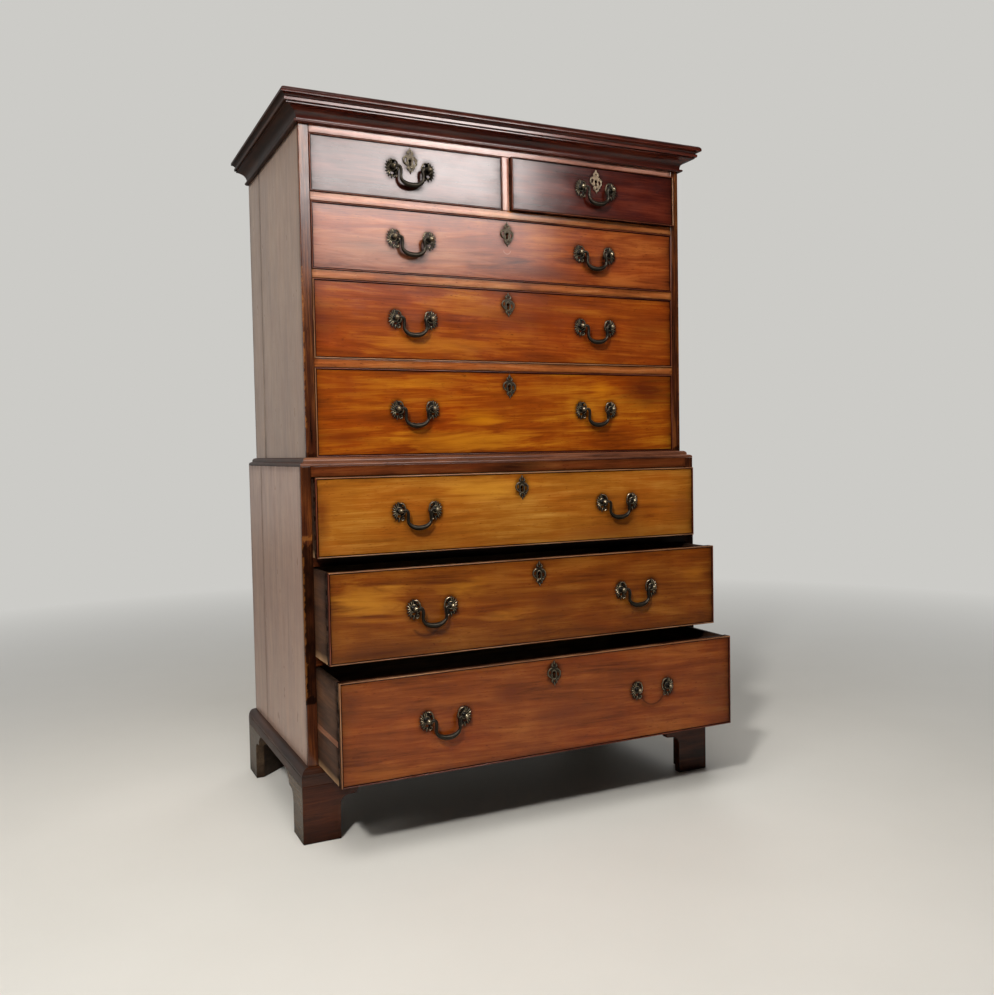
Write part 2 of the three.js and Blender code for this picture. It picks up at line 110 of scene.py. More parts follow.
# Solid mahogany, planed and French polished, aged: long soft streaks, fine dark pores, a ribbon figure that
# changes shade across the grain, darker dirt and painted shade in the corners and recesses, and a waxed
# gloss.
# Real pores and fibres are about 0.2 mm wide, and are drawn 1 to 2 mm wide so that they show. Oak and pine
# use the same pattern with other sizes and no polish.
woods = {
    "mahogany": {
        "deep": "#3A170C", "body": "#6E331B", "light": "#8E4B26", "roughness": 0.5, "specular": 0.0,
        "coat": 0.8, "coatRoughness": 0.15, "slant": 0, "sway": 9, "warp": 14, "redness": 0.5,
        # sizes along and across the grain, and how much each pattern changes the shade
        "bands": [600, 22], "bandCount": 3, "bandShare": 0.2, "clouds": [240, 60], "cloudShare": 0.34,
        "streaks": [140, 3], "streakShare": 0.18, "blotches": [190, 19], "blotchShare": 0.46,
        "ribbon": [34, 120], "ribbonShare": 0.06, "fibres": [60, 1.2], "fibreShare": 0.13,
        "pores": [13, 2], "poreDepth": 0.7, "reds": [210, 60], "smudges": [60, 26],
        "dirt": "#160804", "dirtAndShadeShare": 0.85, "bare": "#A8682E", "bump": 0.08, "marks": [], "patches": [],
    },
}

# Each look by its name, the one that it starts from, its colours from dark to light, and what else differs
woodLooks = [
    ("case side", "mahogany", ("#584032", "#80624C", "#9A7C62"), {
        "specular": 0.5, "coat": 0.5, "coatRoughness": 0.3, "blotchShare": 0.3, "redness": 0.15,
        "cloudShare": 0.2}),
    # a lighter copy of the side for the lower case, as painted light against the less light it gets
    ("lower side", "case side", ("#6A4E40", "#967664", "#B2927A"), {}),
    ("rail", "mahogany", ("#562611", "#A85E2C", "#CA8A52"), {}),
    # a darker copy of the rail for the lower case, as painted shade
    ("dark rail", "mahogany", ("#1E0D06", "#4A2210", "#743A1A"), {}),
    # a much paler copy for the frieze and the divider: painted light, for the sheen of the window light in
    # the polish and against the cornice's shade
    ("frieze", "mahogany", ("#6A4034", "#BC806A", "#D8A48C"), {}),
    ("top rail", "mahogany", ("#3A1608", "#74391A", "#945628"), {
        "patches": [((-20, 856), (120, 16), "#160A06", 0.9)]}),
    ("stile", "mahogany", ("#1C0B05", "#4C2613", "#8A4E24"), {"streakShare": 0.4}),
    ("moulding", "mahogany", ("#200B07", "#4C1C12", "#6C3424"), {"coat": 0.9, "coatRoughness": 0.18}),
    ("waist moulding", "moulding", ("#2E170D", "#633A26", "#8A5A3E"), {
        "redness": 0.1, "coat": 0.6, "coatRoughness": 0.24}),
    ("side moulding", "moulding", ("#140A06", "#2C170E", "#452818"), {
        "redness": 0.1, "coat": 0.45, "coatRoughness": 0.34}),
    ("plinth", "moulding", ("#140A06", "#341A0E", "#502A16"), {"coat": 0.5, "coatRoughness": 0.24}),
    ("foot", "mahogany", ("#180A03", "#3E1B09", "#58290E"), {"coat": 0.45}),
    ("side foot", "foot", ("#241A12", "#4A3A2A", "#64503C"), {"redness": 0.0}),
    ("cockbead", "mahogany", ("#2A0F08", "#5C2C1B", "#824A32"), {"coat": 0.5}),
    # a paler cockbead: wear, and a painted highlight where the round nose catches the light
    ("pale cockbead", "cockbead", ("#4E2E1C", "#8E6242", "#B48A64"), {"coat": 0.3}),
    ("aged oak", "mahogany", ("#1E120B", "#452C1B", "#64442C"), {
        "roughness": 0.66, "bare": "#B08A64", "specular": 0.2, "coat": 0.0, "pores": [20, 0.9],
        "poreDepth": 0.5, "dirt": "#140D08", "bump": 0.25}),
    ("oak fillet", "aged oak", ("#4A2C1C", "#7E523A", "#9A6C50"), {}),
    ("oak", "mahogany", ("#4A3826", "#7C6243", "#9A7E58"), {
        "roughness": 0.66, "specular": 0.4, "coat": 0.0, "bandShare": 0.3, "ribbonShare": 0.05,
        "pores": [20, 0.9], "poreDepth": 0.5, "dirt": "#2A2018", "dirtAndShadeShare": 0.6, "bump": 0.25}),
    ("pine", "mahogany", ("#5E432A", "#8F6D48", "#AC8A60"), {
        "roughness": 0.78, "specular": 0.4, "coat": 0.0, "bands": [900, 30], "bandCount": 9,
        "bandShare": 0.75, "ribbonShare": 0.0, "pores": [60, 1.4], "poreDepth": 0.2, "dirt": "#2E241A",
        "dirtAndShadeShare": 0.7, "bump": 0.3}),
    ("foot pine", "pine", ("#1E150E", "#33261A", "#463524"), {}),
]
for look, base, (deep, body, light), changes in woodLooks:
    woods[look] = dict(woods[base], deep=deep, body=body, light=light, **changes)

grainTurns = {"x": (0, 0, 0), "y": (0, 0, -math.pi / 2), "z": (0, math.pi / 2, 0)}
woodsMade = {}


def woodMaterial(look, grain):
    if (look, grain) in woodsMade:
        return woodsMade[look, grain]
    wood = woods[look]
    surface = "polished" if wood["coat"] else "sawn"
    material, tree = newMaterial(f"{look} {surface} along {grain}")
    objectPlace = addNode(tree, "TexCoord").outputs["Object"]
    turn = Vector(grainTurns[grain]) + Vector((0, math.radians(wood["slant"]), 0))
    turned = addNode(tree, "Mapping", {}, {
        "Vector": objectPlace, "Rotation": turn, "Scale": (1 / mm, 1 / mm, 1 / mm)})
    seed = addNode(tree, "Attribute", {"attribute_name": "boardSeed"}).outputs["Vector"]
    place = addNode(tree, "VectorMath", multiplyAdd, {0: seed, 1: (4100, 2300, 1700), 2: turned})

    # the grain wanders by a few millimetres along the board, and the wider patterns wander more
    wander = addNode(tree, "Mapping", {}, {"Vector": place, "Scale": (1 / 420, 1 / 150, 1 / 150)})
    wander = addNode(tree, "TexNoise", {}, {"Vector": wander, "Scale": 1.0, "Detail": 1.0}).outputs["Color"]
    straight, place = [addNode(tree, "VectorMath", multiplyAdd, {0: wander, 1: (0, sway, sway), 2: place})
                       for sway in (wood["sway"], wood["warp"])]
    growth = grainPattern(tree, place, *wood["bands"], detail=1.5)
    growth = addNode(tree, "Math", multiply, {0: growth, 1: 2 * math.pi * wood["bandCount"]})
    bands = addNode(tree, "Math", {"operation": "SINE"}, {0: growth})
    clouds = grainPattern(tree, place, *wood["clouds"], detail=1.5, distortion=0.5)
    streaks = grainPattern(tree, straight, *wood["streaks"], detail=3.0, rough=0.6)
    blotches = grainPattern(tree, place, *wood["blotches"], detail=4.5, rough=0.6, distortion=0.9)
    fibres = grainPattern(tree, straight, *wood["fibres"], detail=2.0)
    ribbon = grainPattern(tree, place, *wood["ribbon"], detail=1.0)
    pores = grainPattern(tree, straight, *wood["pores"], detail=1.0)
    reds = grainPattern(tree, place, *wood["reds"], detail=3.0, rough=0.6)
    smudges = grainPattern(tree, place, *wood["smudges"], detail=3.0, rough=0.65)

    shade = addNode(tree, "Math", multiplyAdd, {0: bands, 1: 0.22 * wood["bandShare"], 2: 0.5})
    for pattern, share in ((clouds, 2.0 * wood["cloudShare"]), (streaks, 2.2 * wood["streakShare"]),
                           (blotches, 2.0 * wood["blotchShare"]), (fibres, 2.2 * wood["fibreShare"]),
                           (ribbon, 2.0 * wood["ribbonShare"])):
        centred = addNode(tree, "Math", multiplyAdd, {0: pattern, 1: 1.0, 2: -0.5})
        shade = addNode(tree, "Math", multiplyAdd, {0: centred, 1: share, 2: shade})
    colour = addNode(tree, "ValToRGB", {"stops": [
        (0.12, wood["deep"]), (0.5, wood["body"]), (0.86, wood["light"])]}, {0: shade})

    # what lies over the figure: redder areas, pores, patches, marks, dirt with painted shade, and bared wood
    redder = addNode(tree, "Math", multiplyAddClamped, {
        0: reds, 1: 3.0 * wood["redness"], 2: -1.3 * wood["redness"]})
    poreDark = addNode(tree, "Math", multiplyAddClamped, {0: pores, 1: -9.0, 2: 3.1})  # few and short
    poreDark = addNode(tree, "Math", multiply, {0: poreDark, 1: wood["poreDepth"]})
    dirt, worn = [addNode(tree, "Attribute", {"attribute_name": key}).outputs["Fac"]
                  for key in ("dirt", "worn")]
    dirtAndShadeSpread = addNode(tree, "Math", multiplyAdd, {0: smudges, 1: 1.6, 2: 0.1})
    dirtAndShadeAmount = addNode(tree, "Math", multiply, {0: dirt, 1: dirtAndShadeSpread})
    dirtAndShadeAmount = addNode(tree, "Math", multiplyClamped, {0: dirtAndShadeAmount, 1: wood["dirtAndShadeShare"]})
    wornSpread = addNode(tree, "Math", multiplyAdd, {0: smudges, 1: 2.4, 2: -0.3})
    worn = addNode(tree, "Math", multiplyClamped, {0: worn, 1: wornSpread})
    tints = [(redder, "#FFC8A4", "MULTIPLY"), (poreDark, wood["deep"], "MIX")]
    tints += [(patchAmount(tree, objectPlace, blotches, centre, size, strength), tone, "MIX")
              for centre, size, tone, strength in wood["patches"]]
    tints += [(markAmount(tree, objectPlace, mark), mark["colour"], "MIX") for mark in wood["marks"]]
    tints += [(dirtAndShadeAmount, wood["dirt"], "MIX"), (worn, wood["bare"], "MIX")]
    for amount, tint, blend in tints:
        colour = addNode(tree, "Mix", {"data_type": "RGBA", "blend_type": blend}, {
            0: amount, 6: colour, 7: linear(tint)}).outputs[2]

    # dirt and the painted shade that shares its amount both dull the polish
    gloss = addNode(tree, "Math", multiplyAdd, {0: dirtAndShadeAmount, 1: -0.85, 2: 1.0})  # dirt dulls the polish
    specular, coat = [wood[key] and addNode(tree, "Math", multiply, {0: gloss, 1: wood[key]})
                      for key in ("specular", "coat")]
    roughness = addNode(tree, "Math", multiplyAdd, {0: smudges, 1: 0.16, 2: wood["roughness"] - 0.08})
    roughness = addNode(tree, "Math", multiplyAddClamped, {0: dirtAndShadeAmount, 1: 0.2, 2: roughness})
    coatRoughness = addNode(tree, "Math", multiplyAdd, {0: smudges, 1: 0.14, 2: wood["coatRoughness"] - 0.07})
    height = addNode(tree, "Math", multiply, {0: streaks, 1: 0.5})
    height = addNode(tree, "Math", multiplyAdd, {0: poreDark, 1: -0.8, 2: height})
    bump = addNode(tree, "Bump", {}, {"Height": height, "Strength": 0.5, "Distance": wood["bump"] * mm})
    waves = addNode(tree, "Math", multiply, {0: streaks, 1: 0.6})
    waves = addNode(tree, "Math", multiplyAdd, {0: blotches, 1: 3.0, 2: waves})
    coatBump = addNode(tree, "Bump", {}, {"Height": waves, "Strength": 0.6, "Distance": 0.05 * mm})
    shader = addNode(tree, "BsdfPrincipled", {}, {
        "Base Color": colour, "Roughness": roughness, "IOR": 1.5, "Normal": bump,
        "Specular IOR Level": specular, "Coat Weight": coat, "Coat Roughness": coatRoughness, "Coat IOR": 1.5,
        "Coat Normal": coatBump})
    addNode(tree, "OutputMaterial", {}, {"Surface": shader})
    woodsMade[look, grain] = material
    return material


# A place on a drawer's face, measured from a centre in units of a size
def offsetFrom(tree, objectPlace, centre, size):
    return addNode(tree, "VectorMath", multiplyAdd, {
        0: objectPlace, 1: (1 / size[0] / mm, 0, 1 / size[1] / mm),
        2: (-centre[0] / size[0], 0, -centre[1] / size[1])})


# How strongly a darker or paler patch of a board shows: an oval that frays along the grain
def patchAmount(tree, objectPlace, blotches, centre, size, strength):
    offset = offsetFrom(tree, objectPlace, centre, size)
    distance = addNode(tree, "VectorMath", {"operation": "LENGTH"}, {0: offset}).outputs["Value"]
    inside = addNode(tree, "Math", multiplyAdd, {0: distance, 1: -1.2, 2: 1.1})
    frayed = addNode(tree, "Math", multiplyAdd, {0: blotches, 1: 1.0, 2: -0.5})
    inside = addNode(tree, "Math", multiplyAddClamped, {0: frayed, 1: 2.6, 2: inside})
    return addNode(tree, "Math", multiply, {0: inside, 1: strength})


# How strongly a ring-shaped mark shows: a circle round a point of a drawer's face, on one side of it
def markAmount(tree, objectPlace, mark):
    offset = offsetFrom(tree, objectPlace, mark["centre"], (1, 1))
    distance = addNode(tree, "VectorMath", {"operation": "LENGTH"}, {0: offset}).outputs["Value"]
    across = addNode(tree, "Math", {"operation": "SUBTRACT"}, {0: distance, 1: mark["radius"]})
    near = addNode(tree, "Math", {"operation": "ABSOLUTE"}, {0: across})
    ring = addNode(tree, "Math", multiplyAddClamped, {0: near, 1: -1 / mark["width"], 2: 1.0})
    height = addNode(tree, "SeparateXYZ", {}, {0: offset}).outputs["Z"]
    side = addNode(tree, "Math", multiplyAddClamped, {
        0: height, 1: mark["side"] / mark["width"], 2: -mark["from"] / mark["width"]})
    both = addNode(tree, "Math", multiply, {0: ring, 1: side})
    return addNode(tree, "Math", multiply, {0: both, 1: mark["strength"]})


# Cast brass, chased and lacquered long ago: brown and black patina in the hollows, rubbed paler on high spots
brasses = {
    "old brass": {"patina": "#0B0A07", "dull": "#1B1711", "bright": "#A8987A", "metal": 0.8},
    "pale brass": {"patina": "#2E241A", "dull": "#6A5A46", "bright": "#C8B69A", "metal": 0.8},
    "lock brass": {"patina": "#4A3F28", "dull": "#7A6840", "bright": "#A48F58", "metal": 0.9},
    "old iron": {"patina": "#1E1A17", "dull": "#2E2824", "bright": "#5A524A", "metal": 0.8},
}
# casting grit is under 0.5 mm, and is drawn coarser so that it shows
brassPattern = {"clouds": 9, "grit": 1.2, "bump": 0.25}


def brassMaterial(look):
    brass = brasses[look]
    material, tree = newMaterial(f"{look} cast and chased")
    objectPlace = addNode(tree, "TexCoord").outputs["Object"]
    place = addNode(tree, "Mapping", {}, {"Vector": objectPlace, "Scale": (1 / mm, 1 / mm, 1 / mm)})
    clouds = grainPattern(tree, place, brassPattern["clouds"], brassPattern["clouds"], detail=3.0, rough=0.6)
    grit = grainPattern(tree, place, brassPattern["grit"], brassPattern["grit"], detail=2.0)
    rub = addNode(tree, "Attribute", {"attribute_name": "rub"}).outputs["Fac"]
    patina = addNode(tree, "Math", multiplyAddClamped, {0: clouds, 1: 2.4, 2: -0.7})
    rubSpread = addNode(tree, "Math", multiplyAdd, {0: clouds, 1: 1.3, 2: 0.15})
    polish = addNode(tree, "Math", multiplyClamped, {0: rub, 1: rubSpread})
    colour = linear(brass["patina"])
    for amount, tint in ((patina, brass["dull"]), (polish, brass["bright"])):
        colour = addNode(tree, "Mix", mixColours, {0: amount, 6: colour, 7: linear(tint)}).outputs[2]
    roughness = addNode(tree, "Math", multiplyAdd, {0: polish, 1: -0.16, 2: 0.31})
    roughness = addNode(tree, "Math", multiplyAdd, {0: grit, 1: 0.1, 2: roughness})
    height = addNode(tree, "Math", multiply, {0: grit, 1: 0.3})
    height = addNode(tree, "Math", multiplyAdd, {0: clouds, 1: 0.6, 2: height})
    bump = addNode(tree, "Bump", {}, {
        "Height": height, "Strength": 0.5, "Distance": brassPattern["bump"] * mm})
    shader = addNode(tree, "BsdfPrincipled", {}, {
        "Base Color": colour, "Metallic": brass["metal"], "Roughness": roughness, "Normal": bump})
    addNode(tree, "OutputMaterial", {}, {"Surface": shader})
    return material


metals = {look: brassMaterial(look) for look in brasses}

# Meshes. Each is a list of points and a list of faces.

# The faces between rings of points that follow one another
def ringFaces(count, size):
    return [(r * size + k, r * size + (k + 1) % size, (r + 1) * size + (k + 1) % size, (r + 1) * size + k)
            for r in range(count - 1) for k in range(size)]


# A board between two corners. Each ring is an inset from the edges and a depth along the axis, so rings make
# rounded edges and rebates. A grid of faces closes both ends.
def boardMesh(low, high, axis, rings, step):
    low, high = np.array(low, float), np.array(high, float)
    u, v = [i for i in range(3) if i != axis]
    nu, nv = [max(1, round((high[i] - low[i]) / step)) for i in (u, v)]
    loop = [(i, 0) for i in range(nu)] + [(nu, j) for j in range(nv)]
    loop += [(i, nv) for i in range(nu, 0, -1)] + [(0, j) for j in range(nv, 0, -1)]

    def corner(i, j, inset, depth):
        point = [0, 0, 0]
        point[u] = low[u] + inset + (high[u] - low[u] - 2 * inset) * i / nu
        point[v] = low[v] + inset + (high[v] - low[v] - 2 * inset) * j / nv
        point[axis] = low[axis] + depth
        return point

    points = [corner(i, j, *ring) for ring in rings for i, j in loop]
    size = len(loop)
    faces = ringFaces(len(rings), size)
    for r in (0, len(rings) - 1):
        index = {cell: r * size + k for k, cell in enumerate(loop)}
        for i in range(1, nu):
            for j in range(1, nv):
                index[i, j] = len(points)
                points.append(corner(i, j, *rings[r]))
        faces += [(index[i, j], index[i + 1, j], index[i + 1, j + 1], index[i, j + 1])
                  for i in range(nu) for j in range(nv)]
    return points, faces


# Rings of a plain board with rounded edges; the outermost two hold the shading of the flat faces
def roundedRings(thickness, radius, hold=0.7):
    end = [(radius + hold, 0), (radius, 0), (0.3 * radius, 0.3 * radius), (0, radius)]
    return end + [(inset, thickness - depth) for inset, depth in reversed(end)]


def plainBoard(low, high, radius=0.8, step=20, axis=None):
    sizes = [b - a for a, b in zip(low, high)]
    axis = sizes.index(min(sizes)) if axis is None else axis
    return boardMesh(low, high, axis, roundedRings(sizes[axis], min(radius, 0.3 * min(sizes))), step)


def combined(*meshes):
    points, faces = [], []
    for more, fans in meshes:
        faces += [tuple(i + len(points) for i in face) for face in fans]
        points += list(more)
    return points, faces


def moved(mesh, shift):
    return [tuple(np.array(p) + shift) for p in mesh[0]], mesh[1]


def mirrored(mesh):
    return [(-x, y, z) for x, y, z in mesh[0]], mesh[1]


# Turned work set on a back face, where it points the other way
def onBack(mesh, place):
    return [(place[0] + x, place[1] - y, place[2] + z) for x, y, z in mesh[0]], mesh[1]


# Closed rings of points joined in order, with flat ends
def skinMesh(rings):
    size = len(rings[0])
    points = [tuple(p) for ring in rings for p in ring]
    faces = ringFaces(len(rings), size)
    faces.append(tuple(range(size)))
    faces.append(tuple(range((len(rings) - 1) * size, len(rings) * size)))
    return points, faces


# Turned work about an axis that comes out of a drawer's face: pairs of a radius and a height along it
def turnedMesh(profile, sides):
    angles = [2 * math.pi * k / sides for k in range(sides)]
    return skinMesh([[(radius * math.cos(t), -height, radius * math.sin(t)) for t in angles]
                     for radius, height in profile])


# Points of a smooth curve through given ones
def smoothPath(points, steps, closed=False):
    points = [np.array(p, float) for p in points]
    count = len(points)
    path = []
    for i in range(count if closed else count - 1):
        if closed:
            a, b, c, d = [points[(i + k) % count] for k in (-1, 0, 1, 2)]
        else:
            a, b, c, d = [points[min(max(i + k, 0), count - 1)] for k in (-1, 0, 1, 2)]
        for s in range(steps):
            t = s / steps
            path.append(0.5 * (2 * b + (c - a) * t + (2 * a - 5 * b + 4 * c - d) * t * t
                               + (3 * b - a - 3 * c + d) * t ** 3))
    if not closed:
        path.append(points[-1])
    return path


# A pierced flat plate with softened edges, its back on y = 0
def piercedPlate(outline, holes, thickness, edge):
    curve = bpy.data.curves.new("pierced plate", "CURVE")
    curve.dimensions = "2D"
    curve.fill_mode = "BOTH"
    curve.extrude = thickness / 2 - edge
    curve.bevel_depth = edge
    curve.bevel_resolution = 1
    curve.offset = -edge
    for loop in [outline] + holes:
        spline = curve.splines.new("POLY")
        spline.points.add(len(loop) - 1)
        spline.use_cyclic_u = True
        for point, (x, z) in zip(spline.points, loop):
            point.co = (x, z, 0, 1)
    holder = bpy.data.objects.new("pierced plate", curve)
    bpy.context.scene.collection.objects.link(holder)
    bpy.context.view_layer.update()
    mesh = bpy.data.meshes.new_from_object(holder.evaluated_get(bpy.context.evaluated_depsgraph_get()))
    points = [(p.co.x, -(p.co.z + thickness / 2), p.co.y) for p in mesh.vertices]
    faces = [tuple(face.vertices) for face in mesh.polygons]
    bpy.data.objects.remove(holder)
    bpy.data.meshes.remove(mesh)
    return points, faces


def oval(x, z, halfWide, halfHigh, tilt=0, count=14):
    cos, sin = math.cos(math.radians(tilt)), math.sin(math.radians(tilt))
    loop = []
    for k in range(count):
        u = halfWide * math.cos(2 * math.pi * k / count)
        v = halfHigh * math.sin(2 * math.pi * k / count)
        loop.append((x + u * cos - v * sin, z + u * sin + v * cos))
    return loop


# A raised rib on a plate, along a path, swelling to its width between fine ends
def ribMesh(path, width, base, closed=False, sides=8, steps=5):
    places = smoothPath(path, steps, closed)
    count = len(places)
    angles = [2 * math.pi * k / sides for k in range(sides)]
    rings = []
    for i, (x, z) in enumerate(places):
        before = places[(i - 1) % count if closed else max(i - 1, 0)]
        after = places[(i + 1) % count if closed else min(i + 1, count - 1)]
        along = (after - before) / np.linalg.norm(after - before)
        share = i / (count - 1)
        swell = 1.0 if closed else 0.18 + 0.82 * math.sin(math.pi * share ** 0.8)
        half = width / 2 * swell
        rings.append([(x - along[1] * half * math.cos(t), -base - half * math.sin(t),
                       z + along[0] * half * math.cos(t)) for t in angles])
    if closed:
        rings.append(rings[0])
    return skinMesh(rings)


# Pieces

def cutMesh(data, cutter):
    holder = bpy.data.objects.new("cut", data)
    tool = bpy.data.objects.new("cutter", meshData("cutter", cutter))
    for item in (holder, tool):
        bpy.context.scene.collection.objects.link(item)
    change = holder.modifiers.new("cut", "BOOLEAN")
    change.object = tool
    change.solver = "EXACT"
    bpy.context.view_layer.update()
    after = bpy.data.meshes.new_from_object(holder.evaluated_get(bpy.context.evaluated_depsgraph_get()))
    for item in (holder, tool):
        bpy.data.objects.remove(item)
    return after


def meshData(name, mesh):
    data = bpy.data.meshes.new(name)
    data.from_pydata([tuple(p) for p in np.asarray(mesh[0], float) * mm], [], mesh[1])
    work = bmesh.new()
    work.from_mesh(data)
    bmesh.ops.recalc_face_normals(work, faces=work.faces)
    work.to_mesh(data)
    work.free()
    return data


# Mesh data, its shading, material and marks: dirt with painted shade, rub and worn are functions of the
# points
def finishedData(name, mesh, material, dirt=None, rub=None, worn=None, cutter=None, sharp=32):
    data = meshData(name, mesh)
    if cutter:
        data = cutMesh(data, cutter)
    data.materials.clear()
    data.materials.append(material)
    data.polygons.foreach_set("use_smooth", [True] * len(data.polygons))
    data.set_sharp_from_angle(angle=math.radians(sharp))
    places = np.array([v.co for v in data.vertices]) / mm
    values = {"boardSeed": np.full(len(places), random.Random(name).random())}
    for key, mark in (("dirt", dirt), ("rub", rub), ("worn", worn)):
        if mark:
            values[key] = mark(places)
    for key, value in values.items():
        layer = data.attributes.new(key, "FLOAT", "POINT")
        layer.data.foreach_set("value", np.asarray(value, np.float32))
    return data


def addPiece(name, data, body, replaces=(), place=(0, 0, 0)):
    piece = bpy.data.objects.new(name, data)
    piece.location = Vector(place) * mm
    bpy.context.scene.collection.objects.link(piece)
    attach(piece, body)
    if replaces:
        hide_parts(*replaces)


# A piece that has a mesh of its own
def makePiece(name, mesh, material, body, slot, replaces=(), **marks):
    addPiece(name, finishedData(name, mesh, material, **marks), body, replaces)


# Darkening towards the edges of a board's face, within some millimetres
def edgeDarkening(low, high, reach, axes):
    def dirt(places):
        near = np.min([np.minimum(places[:, a] - low[a], high[a] - places[:, a]) for a in axes], axis=0)
        return np.clip(np.exp(-np.maximum(near, 0) / reach), 0, 1)
    return dirt


# Hand planing leaves the flat faces a few tenths of a millimetre uneven, always inwards
def uneven(mesh, low, high, axis, amount, wave=90):
    middle = (low[axis] + high[axis]) / 2
    points = []
    for point in mesh[0]:
        point = list(point)
        near = 1 if point[axis] < middle else -1
        level = noise.noise(Vector(point) / wave) * 0.5 + 0.5
        point[axis] += near * amount * level
        points.append(point)
    return points, mesh[1]


# Boards side by side, numbered, each between two seams
def betweenSeams(seams):
    return [(n, near, far) for n, (near, far) in enumerate(zip(seams[:-1], seams[1:]), 1)]


# One plain board of the case
def caseBoard(name, low, high, look, grain, replaces=(), radius=0.8, step=20, axis=None, dirtReach=7,
              dirt=None, worn=None):
    low, high = np.array(low, float), np.array(high, float)
    flat = int(np.argmin(high - low)) if axis is None else axis
    mesh = uneven(plainBoard(low, high, radius, step, flat), low, high, flat, 0.15)
    dirt = dirt or edgeDarkening(low, high, dirtReach, [a for a in range(3) if a != flat])
    slot = look if look in ("oak", "pine") else "mahogany_case"
    makePiece(name, mesh, woodMaterial(look, grain), "case", slot, replaces, dirt=dirt, worn=worn)


# Handles

handle = {
    "postSpacing": 92, "pivotReach": 15, "ball": 6.2, "stem": 3, "postReach": 21.5,
    "pin": 2.2, "pinHole": 2.6, "pinOvershoot": 1, "holeDepth": 9, "grip": 5.6, "drop": 41.5,
    # half a bail: along half the spacing, up the drop, and thickness
    "bend": [
        (1.02, 0, 0), (0.9, 0, 0), (0.82, 0, 0.15), (0.72, 0.02, 0.36), (0.64, -0.06, 0.46),
        (0.61, -0.2, 0.42), (0.615, -0.38, 0.36), (0.63, -0.54, 0.36), (0.6, -0.7, 0.46),
        (0.5, -0.83, 0.64), (0.37, -0.92, 0.84), (0.22, -0.975, 0.97), (0, -1, 1)],
}

# The right-hand rose: its outline from the top leaf round by the left, then holes, and ribs by width and path
rose = {
    "thickness": 1.6, "ring": 8.2,
    "outline": [
        (3, 21), (-2.5, 18), (-8, 19.3), (-13.2, 15.5), (-15.8, 9), (-17.6, 2), (-17.2, -5), (-14, -11),
        (-9.4, -13.2), (-13.4, -17), (-12.4, -22.4), (-6.6, -24.6), (-2.6, -20.6), (1.5, -26.8),
        (4.4, -19.2), (9.6, -23), (10, -16), (14.8, -17.2), (12, -11.2), (17.6, -9.8), (13.2, -5),
        (18.2, -1), (13.2, 2), (17.7, 7.2), (12, 7.4), (14.6, 14.4), (9.6, 11.8), (8.4, 18.8), (5.2, 15)],
    "holes": [
        (0.6, -13, 5, 3.1, 0), (-9.4, 12, 2.4, 3, -30), (-8.6, -18.6, 2, 2, 0), (-12, 1.4, 1.8, 5.4, 4),
        (10, -13.4, 0.8, 2.2, 38), (12, -7.8, 0.8, 2, 66), (12.4, -2.6, 0.8, 2, 90), (12, 4.4, 0.8, 2, 110)],
    "ribs": [
        (3.2, [(1, 18), (-6, 17.6), (-12, 14.4), (-15.4, 6), (-15.6, -2), (-12.6, -9), (-7.6, -11.4),
               (-5, -9.2)]),
        (2.6, [(-6, -14.8), (-11.6, -16.2), (-11.2, -21.4), (-6, -22.8), (-5.2, -18.8), (-8, -17)]),
        (2.8, [(4, -8), (6.6, -14), (9, -21.4)]), (2.8, [(6, -7), (10, -11), (13.4, -16.2)]),
        (2.8, [(7, -4), (12, -6.4), (16.4, -9.2)]), (2.8, [(8, -1), (12.4, -1), (17, -1)]),
        (2.8, [(7.6, 2), (12, 4), (16.4, 6.7)]), (2.8, [(7, 5), (10.4, 9), (13.5, 13.2)]),
        (3.0, [(1.4, 8.4), (1.6, 14), (2.9, 20)]), (2.6, [(5, 8), (5.6, 13), (7.8, 17.4)]),
        (3.0, [(-1, -16), (0.4, -20.4), (1.5, -25.8)]),
    ],
}


def bailMesh():
    half = [(along * handle["postSpacing"] / 2, up * handle["drop"],
             handle["pin"] + thick * (handle["grip"] - handle["pin"])) for along, up, thick in handle["bend"]]
    path = smoothPath(half + [(-x, z, r) for x, z, r in reversed(half[:-1])], 5)
    rings = []
    for i, (x, z, radius) in enumerate(path):
        run = path[min(i + 1, len(path) - 1)][:2] - path[max(i - 1, 0)][:2]
        run = run / np.linalg.norm(run)
        tall = radius * (1 + 0.2 * max(0, radius / handle["grip"] - 0.5))  # the grip is a little oval
        rings.append([(x - run[1] * tall * math.cos(t), radius * math.sin(t), z + run[0] * tall * math.cos(t))
                      for t in [2 * math.pi * k / 14 for k in range(14)]])
    return skinMesh(rings)


def postMesh():
    reach, ball, stem, end = [handle[key] for key in ("pivotReach", "ball", "stem", "postReach")]
    profile = [(0.1, 0.2), (6.4, 0.2), (6.4, 2.6), (5.6, 3.6), (4.2, 4.2), (stem + 0.3, 5.2), (stem, 6.6),
               (stem, 8.2), (stem + 0.5, 9.0)]
    for k in range(9):
        angle = math.radians(-52 + 13.5 * k)
        profile.append((ball * math.cos(angle), reach + ball * math.sin(angle)))
    profile += [(2.6, reach + 5.7), (2.2, end - 0.3), (1.4, end), (0.1, end)]
    return turnedMesh(profile, 20)


# The pin's hole is on the side that faces the other post
def pinHole(side):
    start = -side * (handle["pinOvershoot"] + 0.4)
    radius, angles = handle["pinHole"], [2 * math.pi * k / 14 for k in range(14)]
    return skinMesh([[(x, radius * math.cos(t) - handle["pivotReach"], radius * math.sin(t)) for t in angles]
                     for x in (start, start + side * handle["holeDepth"])])


